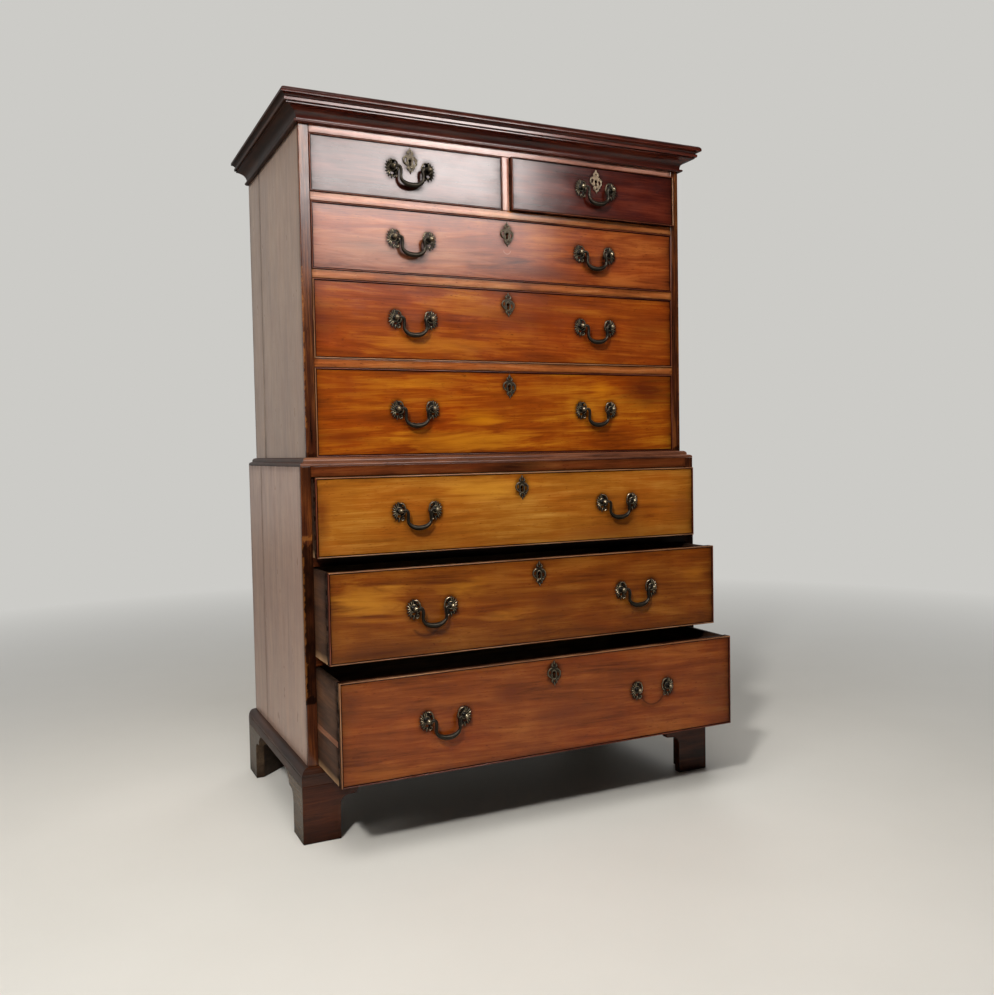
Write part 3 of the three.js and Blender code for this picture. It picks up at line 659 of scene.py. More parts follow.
# A cast plate, pierced, with a raised ring in its middle and raised ribs along its leaves
def castPlate(plate, holes, ring, ringSteps):
    thickness = plate["thickness"]
    flat = piercedPlate(smoothPath(plate["outline"], 4, True), holes, thickness, 0.4)
    raised = ribMesh(ring, 1.8, thickness - 0.2, True, steps=ringSteps)
    return combined(flat, raised, *[ribMesh(path, width, thickness - 0.25) for width, path in plate["ribs"]])


def roseMesh():
    return castPlate(rose, [oval(*hole) for hole in rose["holes"]], oval(0, 0, rose["ring"], rose["ring"]), 5)


escutcheon = {
    "thickness": 1.8, "ring": (0, -3.2, 6.4, 10.6, 0, 20), "drop": 39, "eye": 3.9, "slot": 2.2, "length": 15,
    "outline": [
        (0.5, 31), (-3, 24.8), (-8, 20), (-7.4, 14.4), (-12, 12), (-16.6, 7.4), (-18.6, 1), (-16.4, -5.6),
        (-11.4, -9.6), (-7, -12.6), (-8.2, -17.6), (-5.2, -22), (-1.6, -25.6), (1.6, -31), (3.6, -25.8),
        (8.4, -23), (8.4, -18.4), (12.8, -16.6), (14, -11.8), (18.4, -7.4), (17.2, -2), (19.2, 2.6),
        (14.6, 6.6), (12, 11), (7.2, 11.6), (10, 16.8), (7.2, 21.6), (3.8, 25)],
    "holes": [
        (-10.9, 1.8, 3, 5.8, -8), (10.9, -2.8, 3, 6, 8), (0.5, 18.4, 1.9, 3, 0), (1.8, -19.4, 1.9, 2.6, 0),
        (-5, 14.6, 1, 1.7, 30)],
    "ribs": [
        (3.0, [(-4, 13), (-11.6, 10.4), (-16.2, 4), (-16, -2.6), (-11.6, -8.2), (-6, -11.4), (-3.6, -9.6)]),
        (3.0, [(5, 10.4), (12.4, 8), (16.6, 2.6), (16.2, -3.4), (14.4, -8.6), (11.6, -13.6), (6.6, -13.6)]),
        (3.2, [(0.4, 21.6), (0.6, 26), (0.6, 30.2)]), (2.8, [(-2.6, 16), (-5.6, 19.4), (-4, 24)]),
        (2.8, [(3.6, 15.4), (7.6, 18), (5, 23.6)]), (3.0, [(0, -22), (1.2, -26), (1.7, -30.4)]),
        (2.8, [(-2.4, -14), (-5.8, -17.6), (-3.6, -22.4)]), (2.8, [(4, -14.6), (7.4, -19.6), (5, -23.4)]),
    ],
}


def keyholeOutline():
    outline = [(escutcheon["eye"] * math.sin(t), escutcheon["eye"] * math.cos(t))
               for t in np.linspace(-0.83 * math.pi, 0.83 * math.pi, 15)]
    foot = escutcheon["eye"] - escutcheon["length"]
    return outline + [(escutcheon["slot"] * 1.15, foot), (-escutcheon["slot"] * 1.15, foot)]


def keyholeMesh(near, far):
    return skinMesh([[(x, y, z) for x, z in keyholeOutline()] for y in (near, far)])


def escutcheonMesh():
    holes = [oval(*hole) for hole in escutcheon["holes"]] + [keyholeOutline()]
    return castPlate(escutcheon, holes, oval(*escutcheon["ring"]), 2)


# Iron nuts on the posts, and locks with their screws, on the inner faces of the fronts
hardware = {
    "nut": [(-5, 0, -5), (5, 3, 5)], "thread": [(0.1, -5), (2.6, -5), (2.6, 0), (0.1, 0)],
    "lockPlate": [(-30, 0, -24), (30, 1.8, 24)], "lockBox": [(-22, 1.8, -19), (22, 9, 19)], "lockDrop": 26,
    "screw": [(0.1, -2.6), (2.4, -2.6), (2.8, -2.2), (2.8, -1.6), (0.1, -1.6)], "screwPlace": (26, 20),
}


def lockMesh():
    x, z = hardware["screwPlace"]
    screws = [moved(turnedMesh(hardware["screw"], 12), (sideX * x, 0, sideZ * z))
              for sideX in (-1, 1) for sideZ in (-1, 1)]
    plate = plainBoard(*hardware["lockPlate"], 0.5, 10, 1)
    return combined(plate, plainBoard(*hardware["lockBox"], 1.2, 10, 1), *screws)


def plateRub(places):
    return np.clip((-places[:, 1] - 1.7) / 0.8, 0, 0.8)


handleData = {}
for word, side in (("left", -1), ("right", 1)):
    handleData["post", word] = finishedData(
        f"post {word}", postMesh(), metals["old brass"], cutter=pinHole(-side),
        rub=lambda places: np.clip((-places[:, 1] - 15) / 6, 0, 0.6))
    leaves = roseMesh() if side > 0 else mirrored(roseMesh())
    handleData["rose", word] = finishedData(f"rose {word}", leaves, metals["old brass"], rub=plateRub)
nutMesh = combined(plainBoard(*hardware["nut"], 0.5, 10, 1), turnedMesh(hardware["thread"], 12))
for key, mesh, metal, rub in (
        ("bail", bailMesh(), "old brass", lambda places: np.clip(-places[:, 1] / 9 - 0.2, 0, 0.04)),
        ("escutcheon", escutcheonMesh(), "old brass", lambda places: 0.6 * plateRub(places)),
        ("pale escutcheon", escutcheonMesh(), "pale brass", plateRub),
        ("nut", nutMesh, "old iron", None), ("lock", lockMesh(), "lock brass", None)):
    handleData[key] = finishedData(key, mesh, metals[metal], rub=rub)
print("handles made")

# Drawers

drawer = {
    "frontThickness": 20, "bead": 3, "beadReach": 2.5, "rebate": 8, "gap": 0.25, "side": 11, "back": 9,
    "bottom": 6, "raise": 7, "runner": 10, "backDrop": 9, "tailLength": 13, "tailPitch": 42, "headGap": 1.2,
}

# Each front has its own board: colours from dark to light, the slope of its grain in degrees, and its patches
# by centre, size, colour and strength. Painted shade darkens the wood where a bail's grip hangs, for its
# shadow and its dark reflection in the polish. Dirt darkens the edges, and the wood is darker round the
# brass.
fronts = {
    "short_drawer_left": {
        "slot": "mahogany_front_red", "deep": "#1C0906", "body": "#3C140C", "light": "#5C281A",
        "gripShade": 1.4, "highlightAndWearBeads": ()},
    "short_drawer_right": {
        "slot": "mahogany_front_red", "deep": "#220A07", "body": "#45150D", "light": "#682A18",
        "gripShade": 0.8, "highlightAndWearBeads": ("right",)},
    "upper_drawer_1": {
        "slot": "mahogany_front", "deep": "#4A1D0C", "body": "#8C421A", "light": "#B8682A", "slant": 1.5,
        "gripShade": 1.4, "highlightAndWearBeads": (),
        "patches": [((110, 1352), (150, 22), "#5A2410", 0.7), ((330, 1346), (90, 26), "#B4642A", 0.5),
                    # the pale greyish-pink patch over the left half is a painted reflection of the window
                    # light in the polish
                    ((-330, 1375), (340, 70), "#A0745C", 0.5)],
        "marks": [{"centre": (0.5, 1405), "radius": 10, "width": 1.6, "side": -1, "from": 1,
                   "colour": "#D8B090", "strength": 0.3}]},
    "upper_drawer_2": {
        "slot": "mahogany_front", "deep": "#5A2209", "body": "#8C3E0F", "light": "#B4681C", "slant": -1,
        "gripShade": 0.7, "highlightAndWearBeads": ("left", "bottom"),
        "patches": [((-485, 1212), (60, 60), "#5A1E0C", 0.6), ((-216, 1158), (260, 26), "#C0741E", 0.6),
                    ((60, 1235), (170, 40), "#642609", 0.7), ((420, 1215), (80, 60), "#6A2A0E", 0.5)]},
    "upper_drawer_3": {
        "slot": "mahogany_front", "deep": "#5A2408", "body": "#92440C", "light": "#C0781A", "slant": 2,
        "gripShade": 0.7, "highlightAndWearBeads": ("left",),
        "patches": [((420, 1060), (110, 52), "#4A180A", 0.8), ((-47, 1022), (170, 30), "#8A3C08", 0.35),
                    ((272, 1057), (46, 34), "#C47410", 0.7), ((-123, 925), (260, 34), "#C47C18", 0.6),
                    ((-75, 980), (100, 26), "#CC7E10", 0.6),
                    ((-438, 934), (110, 22), "#6A2A0A", 0.7), ((-430, 1060), (90, 40), "#7A300C", 0.5)]},
    "lower_drawer_1": {
        "slot": "mahogany_front", "deep": "#743C12", "body": "#A4621C", "light": "#C68A38", "slant": 0.5,
        "blotchShare": 0.35, "coat": 0.6, "gripShade": 0.6, "highlightAndWearBeads": ("top", "bottom"),
        "patches": [((-90, 806), (170, 36), "#D08C2A", 0.6), ((-511, 750), (26, 70), "#6A2C12", 0.7),
                    ((492, 731), (60, 60), "#7A3A16", 0.6), ((250, 680), (180, 22), "#8A4416", 0.6)]},
    "lower_drawer_2": {
        "slot": "mahogany_front", "deep": "#4F2209", "body": "#7D4110", "light": "#9B5F1F", "slant": -1.5,
        "coat": 0.5, "gripShade": 0.6, "highlightAndWearBeads": ("top", "bottom"),
        "patches": [((-445, 566), (130, 50), "#BC7A22", 0.75), ((40, 530), (80, 36), "#5A240C", 0.7),
                    ((-414, 446), (200, 16), "#4A1E0A", 0.8), ((-88, 506), (90, 22), "#AC6C20", 0.6),
                    ((466, 566), (50, 26), "#B06A16", 0.35), ((-200, 580), (90, 24), "#B0701C", 0.6)],
        "marks": [{"centre": (-296, 509), "radius": 34, "width": 6, "side": -1, "from": 14,
                   "colour": "#2E1208", "strength": 0.6}]},
    "lower_drawer_3": {
        "slot": "mahogany_front", "deep": "#4E2109", "body": "#7F3D14", "light": "#9C5922", "slant": -2.5,
        "coat": 0.5, "gripShade": 0.6, "highlightAndWearBeads": ("top", "left"), "strip": (0.37, 0.43),
        "patches": [((-112, 335), (60, 40), "#5A2410", 0.7), ((-445, 194), (110, 30), "#96541C", 0.6),
                    ((-500, 350), (36, 60), "#4E200E", 0.7), ((43, 271), (110, 34), "#642C12", 0.6),
                    ((-280, 330), (120, 20), "#904C1C", 0.5), ((480, 270), (70, 90), "#562408", 0.5)],
        "marks": [{"centre": (282, 291), "radius": 35, "width": 3, "side": -1, "from": 8, "colour": "#240E08",
                   "strength": 0.6}]},
}


def addDrawer(name):
    front = fronts[name]
    woods[name] = dict(woods["mahogany"], **front)
    low, high = nodeBox(f"{name}_front")
    face = high[1] - drawer["frontThickness"]
    bails = sorted(n for n in frame["nodes"] if n.startswith(f"{name}_bail"))
    pivots = {j["child"]: np.array(j["pos_m"]) / mm for j in frame["joints"] if j["child"] in bails}
    pivot = pivots[bails[0]]
    handleXs = [pivot[0]]
    if len(bails) > 1 or "_left" in bails[0]:  # one bail can be missing
        handleXs.append(low[0] + high[0] - pivot[0])
    plate = np.array([sum(handleXs) / len(handleXs), face, high[2] + drawer["headGap"] - escutcheon["drop"]])
    posts = [(x + side * handle["postSpacing"] / 2, side) for x in handleXs for side in (-1, 1)]

    # the front, rebated for its cockbead
    inset, rebate, thickness = drawer["bead"] + drawer["gap"], drawer["rebate"], drawer["frontThickness"]
    rings = [(inset + 2.2, 0), (inset + 0.9, 0), (inset + 0.3, 0), (inset, 0.3), (inset, rebate),
             (0.2, rebate), (0.2, thickness - 0.6), (0.8, thickness)]
    boardLow = (low[0], face, low[2])
    mesh = uneven(boardMesh(boardLow, high, 1, rings, 6), boardLow, high, 1, 0.12, 110)
    spots = [(x, pivot[2] - 3) for x, side in posts] + [(plate[0], plate[2])]
    grip = [(x + side * along * handle["postSpacing"] / 2, pivot[2] + up * handle["drop"] - 5)
            for x in handleXs for side in (-1, 1) for along, up, thick in handle["bend"][3:]]

    def dirt(places):
        edge = 0.45 * edgeDarkening(low, high, 9, (0, 2))(places)
        # painted shade: a dark line on the face beside the cockbead and on its rebate
        edge += 1.8 * (edgeDarkening(low, high, 1, (0, 2))(places) > 0.012)
        brass = np.min([np.hypot((places[:, 0] - x) / 20, (places[:, 2] - z) / 27) for x, z in spots], axis=0)
        # painted shade below each bail's grip: its shadow and its dark reflection in the polish; darker round
        # the brass too
        grips = np.min([np.hypot(places[:, 0] - x, places[:, 2] - z) for x, z in grip], axis=0)
        darkNearBrass = np.maximum(np.exp(-np.maximum(brass - 0.9, 0) / 0.15),
                             front["gripShade"] * np.exp(-np.maximum(grips - 4, 0) / 5))
        # darker at both ends: dirt at the left end, painted shade in the wider, stronger band at the right
        # end
        ends = 0.35 * np.exp(-(places[:, 0] - low[0]) / 14) + 0.85 * np.exp(-(high[0] - places[:, 0]) / 16)
        # painted shade on the faces behind the front's face: its rebate shoulders and its back
        behind = 2.0 * (places[:, 1] > face + 1)
        return np.clip(edge + ends + 0.85 * darkNearBrass + behind, 0, 2)

    makePiece(f"{name}_board", mesh, woodMaterial(name, "x"), name, front["slot"], [f"{name}_front"],
              dirt=dirt, cutter=moved(keyholeMesh(-4, 26), plate))

    # cockbead: four strips, mitred
    nose = [(0, rebate - 0.2), (0, -1.3), (0.35, -2.1), (0.9, -2.45), (1.5, -2.5), (2.1, -2.45), (2.65, -2.1),
            (3, -1.3), (3, rebate - 0.2)]
    strips = (("bottom", 2, 0, 0), ("top", 2, 1, 0), ("left", 0, 0, 2), ("right", 0, 1, 2))
    for word, fixed, end, run in strips:
        edge, inward = ((low, 1), (high, -1))[end]
        rings = []
        for s in np.linspace(0, 1, 24):
            ring = []
            for across, out in nose:
                point = [0, face + out, 0]
                point[fixed] = edge[fixed] + inward * across
                start, stop = low[run] + across + 0.06, high[run] - across - 0.06
                point[run] = start + (stop - start) * s
                ring.append(point)
            rings.append(ring)
        # paler beads stand for wear and for a painted highlight along their round nose
        bead = "pale cockbead" if word in front["highlightAndWearBeads"] else "cockbead"
        # the bead's flanks, back in the gap beside the front, are darkened as painted shade
        makePiece(f"{name}_cockbead_{word}", skinMesh(rings), woodMaterial(bead, "xyz"[run]), name,
                  front["slot"], sharp=50,
                  dirt=lambda places: np.clip((places[:, 1] - face + 2.2) / 0.8, 0, 1))

    # brass
    for n, (x, side) in enumerate(posts):
        word = "left" if side < 0 else "right"
        number = word
        if len(handleXs) > 1:
            number = f"{'left' if n < 2 else 'right'}_{word}"
        at = (x, face, pivot[2])
        addPiece(f"{name}_rose_{number}", handleData["rose", word], name, place=at)
        addPiece(f"{name}_post_{number}", handleData["post", word], name, place=at)
        addPiece(f"{name}_nut_{number}", handleData["nut"], name, place=(x, high[1], pivot[2]))
    for bail in bails:
        addPiece(f"{bail}_swan_neck", handleData["bail"], bail, [bail], pivots[bail])
    kind = "pale escutcheon" if name == "short_drawer_right" else "escutcheon"
    addPiece(f"{name}_escutcheon", handleData[kind], name, place=plate)
    addPiece(f"{name}_lock", handleData["lock"], name,
             place=(plate[0], high[1], high[2] - hardware["lockDrop"]))

    # linings: sides dovetailed into the front, a back, and a bottom of three boards
    low, high = nodeBox(f"{name}_box")
    side, tail, floor = drawer["side"], low[1] - drawer["tailLength"], low[2] + drawer["raise"]
    count = max(3, round((high[2] - low[2]) / drawer["tailPitch"]))
    pitch = (high[2] - low[2] - 8) / count
    for word, x0 in (("left", low[0]), ("right", high[0] - side)):
        levels = [low[2], high[2]]
        # the deepest drawer's sides are made up with a strip between two boards
        levels[1:1] = [low[2] + share * (high[2] - low[2]) for share in front.get("strip", ())]
        boards = [plainBoard((x0, low[1], under), (x0 + side, high[1], over - 0.5), 0.8, 18, 0)
                  for under, over in zip(levels[:-1], levels[1:])]
        if len(boards) > 1:
            makePiece(f"{name}_side_strip_{word}", boards.pop(1), woodMaterial("oak fillet", "y"), name,
                      "oak")
        tailXs = (x0 + 0.15, x0 + side) if word == "left" else (x0, x0 + side - 0.15)
        for k in range(count):
            z = low[2] + 4 + (k + 0.5) * pitch
            outline = [(low[1], z - 0.3 * pitch), (tail, z - 0.42 * pitch), (tail, z + 0.42 * pitch),
                       (low[1], z + 0.3 * pitch)]
            boards.append(skinMesh([[(x, y, up) for y, up in outline] for x in tailXs]))
        makePiece(f"{name}_side_{word}", combined(*boards), woodMaterial("aged oak", "y"), name, "oak",
                  [f"{name}_box"] if word == "left" else (), dirt=edgeDarkening(low, high, 12, (1, 2)),
                  worn=lambda places: 0.8 * (places[:, 2] < low[2] + 2.5))
        inner = x0 + side if word == "left" else x0 - drawer["runner"]
        strip = plainBoard((inner, low[1] + 2, low[2] + 0.4), (inner + drawer["runner"], high[1] - 2, floor),
                           0.6, 40, 2)
        makePiece(f"{name}_runner_{word}", strip, woodMaterial("oak", "y"), name, "oak")
    left, right, behind = low[0] + side, high[0] - side, high[1] - drawer["back"]
    back = plainBoard((left, behind, floor), (right, high[1], high[2] - drawer["backDrop"]), 0.8, 20, 1)
    makePiece(f"{name}_back", back, woodMaterial("oak", "x"), name, "oak",
              dirt=edgeDarkening(low, high, 12, (0, 2)))
    for n, near, far in betweenSeams(np.linspace(low[1], behind - 0.3, 4)):
        board = plainBoard((left + 0.2, near + 0.2, floor),
                           (right - 0.2, far - 0.2, floor + drawer["bottom"]), 0.4, 24, 2)
        # the bottom boards' undersides are darkened as painted shade; the rest carries a little dirt
        makePiece(f"{name}_bottom_{n}", board, woodMaterial("oak", "x"), name, "oak",
                  dirt=lambda places: np.where(places[:, 2] < floor + 2, 1.6, 0.15))


for name in fronts:
    addDrawer(name)
    print(name, "made")

# Case boards

case = {
    "railDepth": 60, "dustBoard": 8, "stop": (34, 9, 5), "stopFromEnd": 150, "guide": 20, "backBoards": 5,
    "edging": 9,
    # heights between which the stiles are darker, bared, chipped and split
    "black": {"upper": (880, 900), "lower": (335, 690)}, "bare": {"upper": (960, 1330), "lower": (330, 700)},
    "chip": (318, 334), "split": (698, 709),
    # shrinkage cracks in the sides: share of the depth at the foot and at the top, and width
    "cracks": {"upper": (0.79, 0.735, 1.3), "lower": (0.74, 0.715, 1.2)},
}


# A side of the case is an edging and two boards; the crack between the boards leans a little
def addSide(node):
    low, high = nodeBox(node)
    front = low[1] + case["edging"]
    level = node.split("_")[0]

    # some lengths of the edging are darker, and knocks and hands have bared its outer corner
    def ragged(places):
        return np.array([noise.noise(Vector(p) / 13) + 0.6 * noise.noise(Vector(p) / 5) for p in places])

    def between(z, span):
        return (z > span[0]) & (z < span[1])

    def dirt(places):
        z = places[:, 2] + 5 * ragged(places)
        return np.where(between(z, case["chip"]), 2.0, np.where(between(z, case["black"][level]), 1.1, 0.25))

    def worn(places):
        frayed = ragged(places)
        z = places[:, 2] + 5 * frayed
        fromCorner = max(abs(low[0]), abs(high[0])) - np.abs(places[:, 0])
        bare = (fromCorner < 1.2 + 5 * frayed) & between(z, case["bare"][level])
        return np.where(between(z, case["split"]), 0.45, np.where(bare, 0.35, 0))

    caseBoard(f"{node}_edging", low, (high[0], front - 0.1, high[2]), "stile", "z", [node], 1.0, 3.5, 1,
              dirt=dirt, worn=worn)
    low[1] = front
    atFoot, atHead, width = case["cracks"][level]

    def seamAt(z):
        share = (z - low[2]) / (high[2] - low[2])
        return low[1] + (atFoot + (atHead - atFoot) * share) * (high[1] - low[1])

    # the lower sides take the lighter copy: painted light
    look = "case side" if level == "upper" else "lower side"
    for n in (1, 2):
        board = plainBoard(low, high, 1.0, 14, 0)
        points = []
        for x, y, z in board[0]:
            share = (y - low[1]) / (high[1] - low[1])
            near = low[1] if n == 1 else seamAt(z) + width / 2
            far = seamAt(z) - width / 2 if n == 1 else high[1]
            points.append((x, near + (far - near) * share, z))
        mesh = uneven((points, board[1]), low, high, 0, 0.25, 130)
        boardLow, boardHigh = low.copy(), high.copy()
        (boardHigh if n == 1 else boardLow)[1] = seamAt((low[2] + high[2]) / 2)
        makePiece(f"{node}_board_{n}", mesh, woodMaterial(look, "z"), "case", "mahogany_case", [node],
                  dirt=lambda places: 0.6 * edgeDarkening(boardLow, boardHigh, 8, (1, 2))(places)
                  + 1.2 * ((places[:, 1] > high[1] - 0.4) | (places[:, 2] > high[2] - 0.4)))


for level in ("upper", "lower"):
    for word in ("left", "right"):
        addSide(f"{level}_side_{word}")

for node in [n for n in frame["nodes"] if "_rail_" in n or n.endswith("_bottom_board")]:
    low, high = nodeBox(node)
    wide, deep, tall = case["stop"]
    top = high[2] - tall
    front, depth = low[1], case["railDepth"]
    under = low[2] if node.endswith("_bottom_board") else top - case["dustBoard"]
    # the lower case's rails take the darker copy: painted shade
    caseBoard(f"{node}_edge", low, (high[0], front + depth, top),
              "dark rail" if node.startswith("lower") else "rail", "x", [node], 0.7, 10, 1, 2.5)
    for n, near, far in betweenSeams(np.linspace(front + depth + 0.2, high[1], 4)):
        # the dust boards' undersides are darkened as painted shade; the rest carries a little dirt
        caseBoard(f"{node}_dust_board_{n}", (low[0], near, under), (high[0], far - 0.3, top - 0.1),
                  "pine", "x", radius=0.4, step=40,
                  dirt=lambda places: np.where(places[:, 2] < under + 2, 1.6, 0.3))
    near = front + drawer["frontThickness"] + 0.3
    for word, x in (("left", low[0] + case["stopFromEnd"]), ("right", high[0] - case["stopFromEnd"])):
        caseBoard(f"{node}_stop_{word}", (x - wide / 2, near, top), (x + wide / 2, near + deep, top + tall),
                  "oak", "x", radius=0.5)

# the frieze takes the paler copy with painted light
for node, look in (("upper_top_rail", "frieze"), ("lower_top_rail", "top rail")):
    low, high = nodeBox(node)
    caseBoard(f"{node}_board", low, high, look, "x", [node], 0.7, 10, 1, 2.5)

low, high = nodeBox("short_drawer_divider")
behind = low[1] + case["railDepth"]
# the divider post takes the same paler copy with painted light
caseBoard("short_drawer_divider_post", low, (high[0], behind, high[2]), "frieze", "z",
          ["short_drawer_divider"], 0.7, 10, 1, 1.5)
caseBoard("short_drawer_divider_guide", (low[0], behind, low[2]), (high[0], high[1], low[2] + case["guide"]),
          "oak", "y")

for node in ("upper_top_board", "lower_top_board"):
    low, high = nodeBox(node)
    for n, near, far in betweenSeams(np.linspace(low[1], high[1], 4)):
        caseBoard(f"{node}_{n}", (low[0], near + 0.3, low[2]), (high[0], far - 0.3, high[2]), "pine", "x",
                  [node], 0.8, 25, 2, 14)

nailHead = turnedMesh([(0.1, 0), (2.9, 0), (2.6, 0.45), (1.6, 0.7), (0.1, 0.75)], 10)
for node in ("upper_back", "lower_back"):
    low, high = nodeBox(node)
    widths = [1.0 + 0.16 * math.sin(2.3 * k + len(node)) for k in range(case["backBoards"])]
    nails = []
    seams = low[0] + (high[0] - low[0]) * np.concatenate(([0], np.cumsum(widths) / sum(widths)))
    for n, near, far in betweenSeams(seams):
        caseBoard(f"{node}_board_{n}", (near + 0.6, low[1], low[2]), (far - 0.6, high[1], high[2]),
                  "pine", "z", [node], 0.9, 20, 1, 14)
        nails += [onBack(nailHead, (x, high[1], z)) for x in np.linspace(near + 25, far - 25, 3)
                  for z in (low[2] + 12, high[2] - 12)]
    makePiece(f"{node}_nails", combined(*nails), metals["old iron"], "case", "brass")
print("case boards made")

# Mouldings. Profiles go from the foot up, as shares of the reach and the height: two numbers are a corner,
# four are a curve by its control point and its end.

profiles = {
    "cornice": [
        (0, 0.04), (0.03, 0.04), (0.22, 0.04, 0.22, 0.1), (0.22, 0.155, 0.08, 0.16), (0.08, 0.19),
        (0.12, 0.47, 0.64, 0.52), (0.71, 0.52), (0.71, 0.555), (0.67, 0.57), (0.8, 0.57), (0.82, 0.585),
        (0.82, 0.665), (0.8, 0.68), (0.75, 0.69), (0.77, 0.77, 0.95, 0.79), (1, 0.79), (1, 0.86),
        (0.98, 0.95, 0.8, 1), (0, 1)],
    "waist_moulding": [(0, 0), (1, 0), (1, 0.15), (0.98, 0.4, 0.55, 0.46), (0.55, 0.62), (0.5, 0.98, 0, 1)],
    "base_moulding": [(1, 0), (1, 0.3), (0.93, 0.4), (0.8, 0.98, 0.12, 1), (0, 1)],
}
seam = 0.3


def profilePoints(shares, steps=7):
    points = [shares[0]]
    for share in shares[1:]:
        start = points[-1]
        if len(share) == 2:
            points.append(share)
            continue
        for k in range(1, steps + 1):
            t = k / steps
            points.append(tuple((1 - t) ** 2 * start[i] + 2 * t * (1 - t) * share[i] + t * t * share[i + 2]
                                for i in (0, 1)))
    return points


# A length between two ends. Each end is the plan place where the profile starts, and how far its reach
# carries it along x and y, which makes a mitre. Long use has worn the outer edges in places.
def mouldingMesh(profile, start, stop, step=16, wear=0.5):
    ends = [[np.array([at[0] + out * reach[0], at[1] + out * reach[1], up]) for out, up in profile]
            for at, reach in (start, stop)]
    length = np.linalg.norm(ends[1][-1] - ends[0][-1])
    count = max(2, round(length / step))
    inner = np.array([start[0][0] + stop[0][0], start[0][1] + stop[0][1]]) / 2
    run = (ends[1][0] - ends[0][0]) / np.linalg.norm(ends[1][0] - ends[0][0])
    outward = np.array([run[1], -run[0], 0])
    if outward[:2] @ (ends[0][1][:2] + ends[1][1][:2] - 2 * inner) < 0:
        outward = -outward
    top = max(out for out, up in profile)
    rings = []
    for k in range(count + 1):
        s = k / count
        ring = []
        for (out, up), a, b in zip(profile, *ends):
            point = a + (b - a) * s
            rough = max(0.0, noise.noise(Vector(point) / 37) - 0.1) * wear * (out / top) ** 2
            ring.append(point - outward * rough)
        rings.append(ring)
    return skinMesh(rings)


# A front length and two side ones round a case, given by one of its sides
def addMouldings(prefix, look, profile, sideBox, reachX, reachY, dirt=None):
    front, halfWidth, rear = sideBox[0][1], sideBox[1][0], sideBox[1][1]
    mitre, inner, face = seam / 2, halfWidth + seam, front - seam
    lengths = {
        "front": (((-inner + mitre, face), (-reachX, -reachY)),
                  ((inner - mitre, face), (reachX, -reachY)), "x"),
        "left": (((-inner, face + mitre), (-reachX, -reachY)), ((-inner, rear), (-reachX, 0)), "y"),
        "right": (((inner, face + mitre), (reachX, -reachY)), ((inner, rear), (reachX, 0)), "y"),
    }
    for word, (start, stop, grain) in lengths.items():
        node = f"{prefix}_{word}"
        material = woodMaterial(look if word == "front" else "side moulding", grain)
        makePiece(f"{node}_length", mouldingMesh(profile, start, stop), material, "case", "mahogany_dark",
                  [node], dirt=dirt, sharp=24)


def placed(name, low, high):
    return [(out, low + up * (high - low)) for out, up in profilePoints(profiles[name])]


# Dust lies on the cornice and has darkened its upper edge
def corniceDirt(places):
    above = places[:, 2] - corniceTop
    return np.where(above > -0.3, 2.2, np.clip((above + 16) / 10, 0, 0.9))


corniceTop = nodeBox("cornice_front")[1][2]
upperSide, lowerSide = nodeBox("upper_side_right"), nodeBox("lower_side_right")
for prefix, look, dirt in (("cornice", "moulding", corniceDirt), ("waist_moulding", "waist moulding", None)):
    low, high = nodeBox(f"{prefix}_front")
    addMouldings(prefix, look, placed(prefix, low[2], high[2]), upperSide, high[0] - upperSide[1][0] - seam,
                 upperSide[0][1] - low[1] - seam, dirt)

low, high = nodeBox("base_moulding_front")
plinth = {"reach": 21, "nose": 20, "ledge": 20, "moulding": 18}
reach, ledge = plinth["reach"], -plinth["ledge"] / plinth["reach"]
nose = [(out * plinth["nose"] / reach, up)
        for out, up in placed("base_moulding", high[2] - plinth["moulding"], high[2])]
plinthTop = high[2] - plinth["moulding"] - seam
plinthProfile = [(ledge, low[2]), (1, low[2]), (1, plinthTop), *nose, (0, plinthTop), (ledge, plinthTop)]
addMouldings("base_moulding", "plinth", plinthProfile, lowerSide, reach, reach)
print("mouldings made")

# Feet

foot = {
    "width": 90, "thickness": 22, "cusp": 68, "block": 42, "rearBlock": 26, "brace": 18, "braceReach": 116,
    "curve": [(0, 0.58), (0.02, 0.73, 0.26, 0.75), (0.59, 0.763), (0.66, 0.93, 1, 0.975)],
}


# A bracket board laid out along one way and up: the plain part that stands on the floor, then the cusps
def bracketMesh(height, thickness):
    curve = [(foot["width"] + along * foot["cusp"], up * height)
             for along, up in profilePoints(foot["curve"], 6)]
    knee = curve[0][1]
    rows = 8
    columns = []
    for along in np.linspace(0, foot["width"], 10):
        lower = [knee * k / rows for k in range(rows)]
        columns.append((along, lower + [knee + (height - knee) * k / rows for k in range(rows + 1)]))
    for along, up in curve[1:]:
        columns.append((along, [None] * rows + [up + (height - up) * k / rows for k in range(rows + 1)]))
    index, points, faces = {}, [], []
    for c, (along, heights) in enumerate(columns):
        for r, up in enumerate(heights):
            if up is None:
                continue
            for side, depth in ((0, 0), (1, thickness)):
                index[c, r, side] = len(points)
                points.append((along, depth, up))
    edges = {}
    for c in range(len(columns) - 1):
        for r in range(2 * rows):
            cell = [(c, r), (c + 1, r), (c + 1, r + 1), (c, r + 1)]
            if any((a, b, 0) not in index for a, b in cell):
                continue
            faces.append(tuple(index[a, b, 0] for a, b in cell))
            faces.append(tuple(index[a, b, 1] for a, b in reversed(cell)))
            for k in range(4):
                edge = cell[k], cell[(k + 1) % 4]
                key = tuple(sorted(edge))
                edges[key] = edges.get(key, 0) + 1
    for (a, b), count in edges.items():
        if count == 1:
            faces.append((index[(*a, 0)], index[(*b, 0)], index[(*b, 1)], index[(*a, 1)]))
    return points, faces


